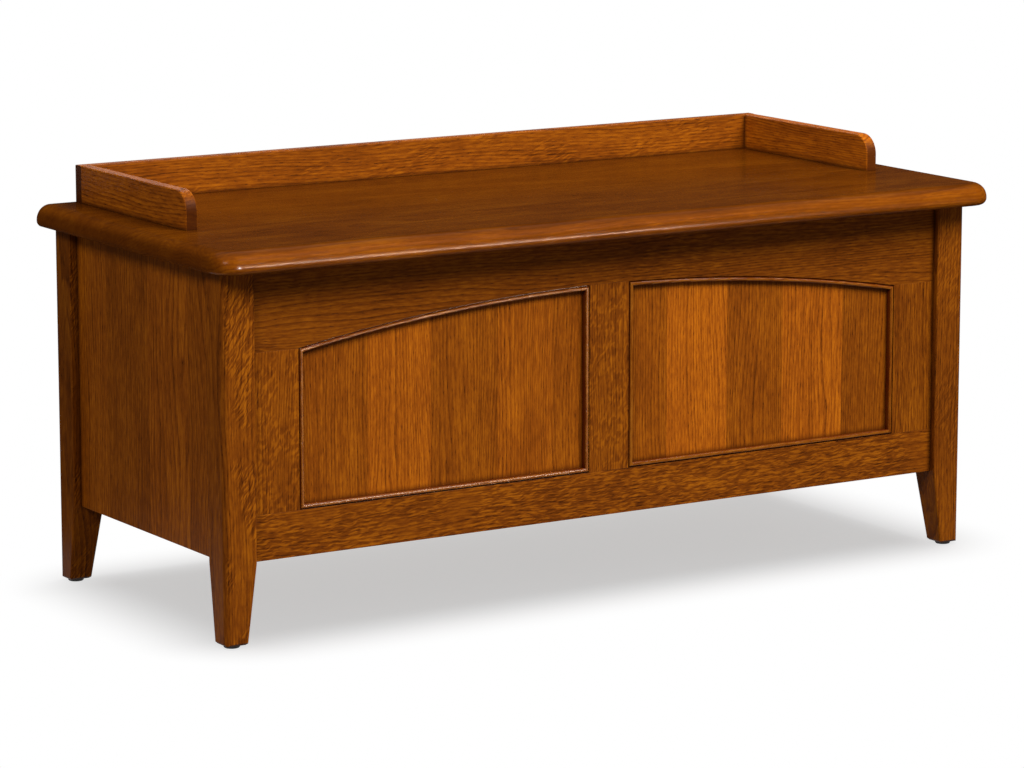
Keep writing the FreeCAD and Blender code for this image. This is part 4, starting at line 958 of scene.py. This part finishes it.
@dataclass
class Lamp:
    """A soft box: where it stands round the chest, how large it is and how much it gives."""

    name: str
    azimuth: float  # degrees from the front towards the right
    elevation: float  # degrees
    distance: float  # m
    size: tuple[float, float]  # m
    power: float  # W
    colour: str = "#ffffff"
    matt: bool = True  # whether it lights matt surfaces
    shine: bool = True  # whether glossy surfaces reflect it
    only: tuple[str, ...] = ()  # names of what it lights
    spares: tuple[str, ...] = ("floor",)  # names of what it leaves out, where only is empty

    def build(self, target: Vector, floor: Object, nodes: Mapping[str, Object]) -> None:
        """Adds the lamp to the scene, aimed at the target.

        Args:
            target: what it looks at.
            floor: the studio floor.
            nodes: the CAD nodes, by name.
        """
        data = bpy.data.lights.new(self.name, "AREA")
        data.shape = "RECTANGLE"
        data.size, data.size_y = self.size
        data.energy = self.power
        data.color = linear(self.colour)[:3]
        lamp = bpy.data.objects.new(self.name, data)
        bpy.context.scene.collection.objects.link(lamp)
        aim(lamp, around(target, self.azimuth, self.elevation, self.distance), target)
        lamp.visible_camera = False
        lamp.visible_diffuse = self.matt
        lamp.visible_glossy = self.shine
        lit = bpy.data.collections.new(f"{self.name}_lights")
        for name in self.only or self.spares:
            lit.objects.link(floor if name == floor.name else nodes[name])
        for member in lit.collection_objects:
            member.light_linking.link_state = "INCLUDE" if self.only else "EXCLUDE"
        lamp.light_linking.receiver_collection = lit
        log.info("%s: %.0f W", self.name, self.power)


@dataclass
class Studio:
    """White floor, plain soft light and the camera."""

    nodes: Mapping[str, Object]
    target: tuple[float, float, float] = (-0.0083, 0.01375, 0.2248)  # m, what the camera looks at
    camera_azimuth: float = -32.17  # degrees
    camera_elevation: float = 10.49
    camera_distance: float = 5.216  # m
    lens: float = 148.56  # mm on a 36 mm sensor
    view_depth: float = 40.0  # m
    sky: float = 0.20  # strength of the even light from all round
    floor_radius: float = 6.0  # m
    floor_grey: float = 0.63  # how light its paper is
    floor_glow: float = 0.525  # what the floor adds for the camera, so that it clears to white
    shade_middle: tuple[float, float] = (0.0, 0.01375)  # m, of the oblong that stays grey
    shade_half: tuple[float, float] = (0.46, 0.145)  # m, half its length and width
    shade_fade: float = 0.17  # m over which the floor clears to white round it
    # Half length, half width and height of each ring of black cloth, in metres.
    flags: tuple[tuple[float, float, float], ...] = ((0.80, 0.55, 0.44), (3.4, 3.4, 4.0))
    flag_grey: float = 0.02
    segments: int = 96  # of the floor's rim and of each flag's
    # The kicker and the glint stand below the top of the lid, so that its edge shines and its top doesn't.
    lamps: tuple[Lamp, ...] = (
        Lamp("key", 26.0, 46.0, 3.6, (2.2, 1.6), 153.0, spares=("floor", "lid_top")),
        Lamp("key_on_lid", 26.0, 46.0, 3.6, (2.2, 1.6), 153.0, shine=False, only=("lid_top",)),
        Lamp("fill", -58.0, 31.0, 4.2, (0.9, 0.9), 60.0),
        Lamp("back", 165.0, 32.0, 4.0, (2.4, 1.6), 70.0, spares=("floor", "lid_top")),
        Lamp("kicker", 21.5, 1.6, 3.0, (1.3, 0.10), 330.0, "#ffdcc0", matt=False,
             only=("lid_top", "bead_moulding_left")),
        Lamp("glint", -4.0, 1.6, 3.0, (0.2, 0.2), 500.0, matt=False, only=("lid_top",)),
        Lamp("overhead", 110.0, 80.0, 3.0, (1.3, 1.3), 30.0, only=("floor",)),
    )

    def seen(self, add: partial) -> Node:
        """Tells the rays that show the studio from those that carry its light.

        Args:
            add: wire() bound to a node tree.

        Returns:
            1 for rays from the camera, from reflections and through glass, else 0.
        """
        path = add("LightPath")
        direct = add("Math", {0: path.outputs["Is Camera Ray"], 1: path.outputs["Is Glossy Ray"]},
                     operation="MAXIMUM")
        return add("Math", {0: direct, 1: path.outputs["Is Transmission Ray"]}, operation="MAXIMUM")

    def build_world(self) -> None:
        """Even light all round, which shows as plain white behind the chest."""
        world = bpy.data.worlds.new("studio")
        bpy.context.scene.world = world
        world.use_nodes = True
        world.node_tree.nodes.clear()
        add = partial(wire, world.node_tree)
        strength = add("MapRange", {"Value": self.seen(add), "To Min": self.sky, "To Max": 1.0})
        light = add("Background", {"Color": linear("#ffffff"), "Strength": strength})
        add("OutputWorld", {"Surface": light})

    def build_floor(self) -> Object:
        """Makes a round floor that keeps the chest's shadow and clears to white away from it.

        The share of white rises smoothly with the distance from an oblong under the chest.

        Returns:
            The floor.
        """
        angle = np.linspace(0, 2 * np.pi, self.segments, endpoint=False)
        rim = np.stack([self.floor_radius * np.cos(angle), self.floor_radius * np.sin(angle),
                        np.zeros_like(angle)], -1)
        floor = mesh_object("floor", rim, [range(len(rim))], smooth=False)
        material, add = new_material("studio_paper")
        place = add("VectorMath", {0: add("TexCoord").outputs["Object"], 1: (*self.shade_middle, 0.0)},
                    operation="SUBTRACT")
        place = add("VectorMath", {0: place}, operation="ABSOLUTE")
        place = add("VectorMath", {0: place, 1: (*self.shade_half, 0.0)}, operation="SUBTRACT")
        place = add("VectorMath", {0: place, 1: (0.0, 0.0, 0.0)}, operation="MAXIMUM")
        away = add("VectorMath", {0: place}, operation="LENGTH")
        clear = add("MapRange", {"Value": away.outputs["Value"], "From Max": self.shade_fade},
                    interpolation_type="SMOOTHSTEP")
        seen = self.seen(add)
        paper = add("BsdfDiffuse", {"Color": grey(self.floor_grey)})
        glow = add("Emission", {"Strength": add("Math", {0: seen, 1: self.floor_glow},
                                                operation="MULTIPLY")})
        lit = add("AddShader", {0: paper, 1: glow})
        white = add("Emission", {"Strength": 1.0})
        share = add("Math", {0: clear, 1: seen}, operation="MULTIPLY")
        add("OutputMaterial", {"Surface": add("MixShader", {0: share, 1: lit, 2: white})})
        dress(floor, material)
        return floor

    def build_flags(self) -> None:
        """Puts black cloth round the set, which only reflections meet: an ellipse's rim raised by its height.

        It keeps the white of floor and studio off the lacquer at low angles, as a photographer's flags do.
        """
        material, add = new_material("black_cloth")
        glow = add("Emission", {"Color": grey(self.flag_grey), "Strength": 1.0})
        add("OutputMaterial", {"Surface": glow})
        angle = np.linspace(0, 2 * np.pi, self.segments, endpoint=False)
        place = np.arange(len(angle))
        after = np.roll(place, -1)
        quads = np.stack([place, after, after + len(angle), place + len(angle)], -1)
        for number, (across, deep, height) in enumerate(self.flags):
            low = np.stack([across * np.cos(angle), deep * np.sin(angle), np.full_like(angle, MM)], -1)
            flag = mesh_object(f"flag_{number}", np.concatenate([low, low + (0, 0, height)]), quads)
            dress(flag, material)
            flag.visible_camera = flag.visible_diffuse = flag.visible_shadow = False
            flag.visible_transmission = False

    def build_camera(self) -> None:
        """The camera, at three quarters from the left and a little above."""
        data = bpy.data.cameras.new("camera")
        data.lens = self.lens
        data.sensor_fit = "HORIZONTAL"
        data.clip_end = self.view_depth
        camera = bpy.data.objects.new("camera", data)
        bpy.context.scene.collection.objects.link(camera)
        target = Vector(self.target)
        aim(camera, around(target, self.camera_azimuth, self.camera_elevation, self.camera_distance), target)
        bpy.context.scene.camera = camera

    def build(self) -> None:
        """Sets up the whole studio."""
        bpy.context.scene.view_settings.view_transform = "Standard"
        self.build_camera()
        self.build_world()
        floor = self.build_floor()
        self.build_flags()
        for lamp in self.lamps:
            lamp.build(Vector(self.target), floor, self.nodes)
        log.info("studio is lit")


def main() -> None:
    """Loads the frame, dresses the chest and sets up the studio."""
    logging.basicConfig(level=logging.INFO, format="%(name)s: %(message)s")
    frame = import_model()
    nodes = frame["nodes"]
    Studio(nodes).build()
    Carcass(nodes).build()
    Lid(nodes).build()
    slots = {part["node"]: part["material_slot"] for part in frame["record"]["subparts"]}
    Hardware(nodes, slots).build()


if __name__ == "__main__":
    main()
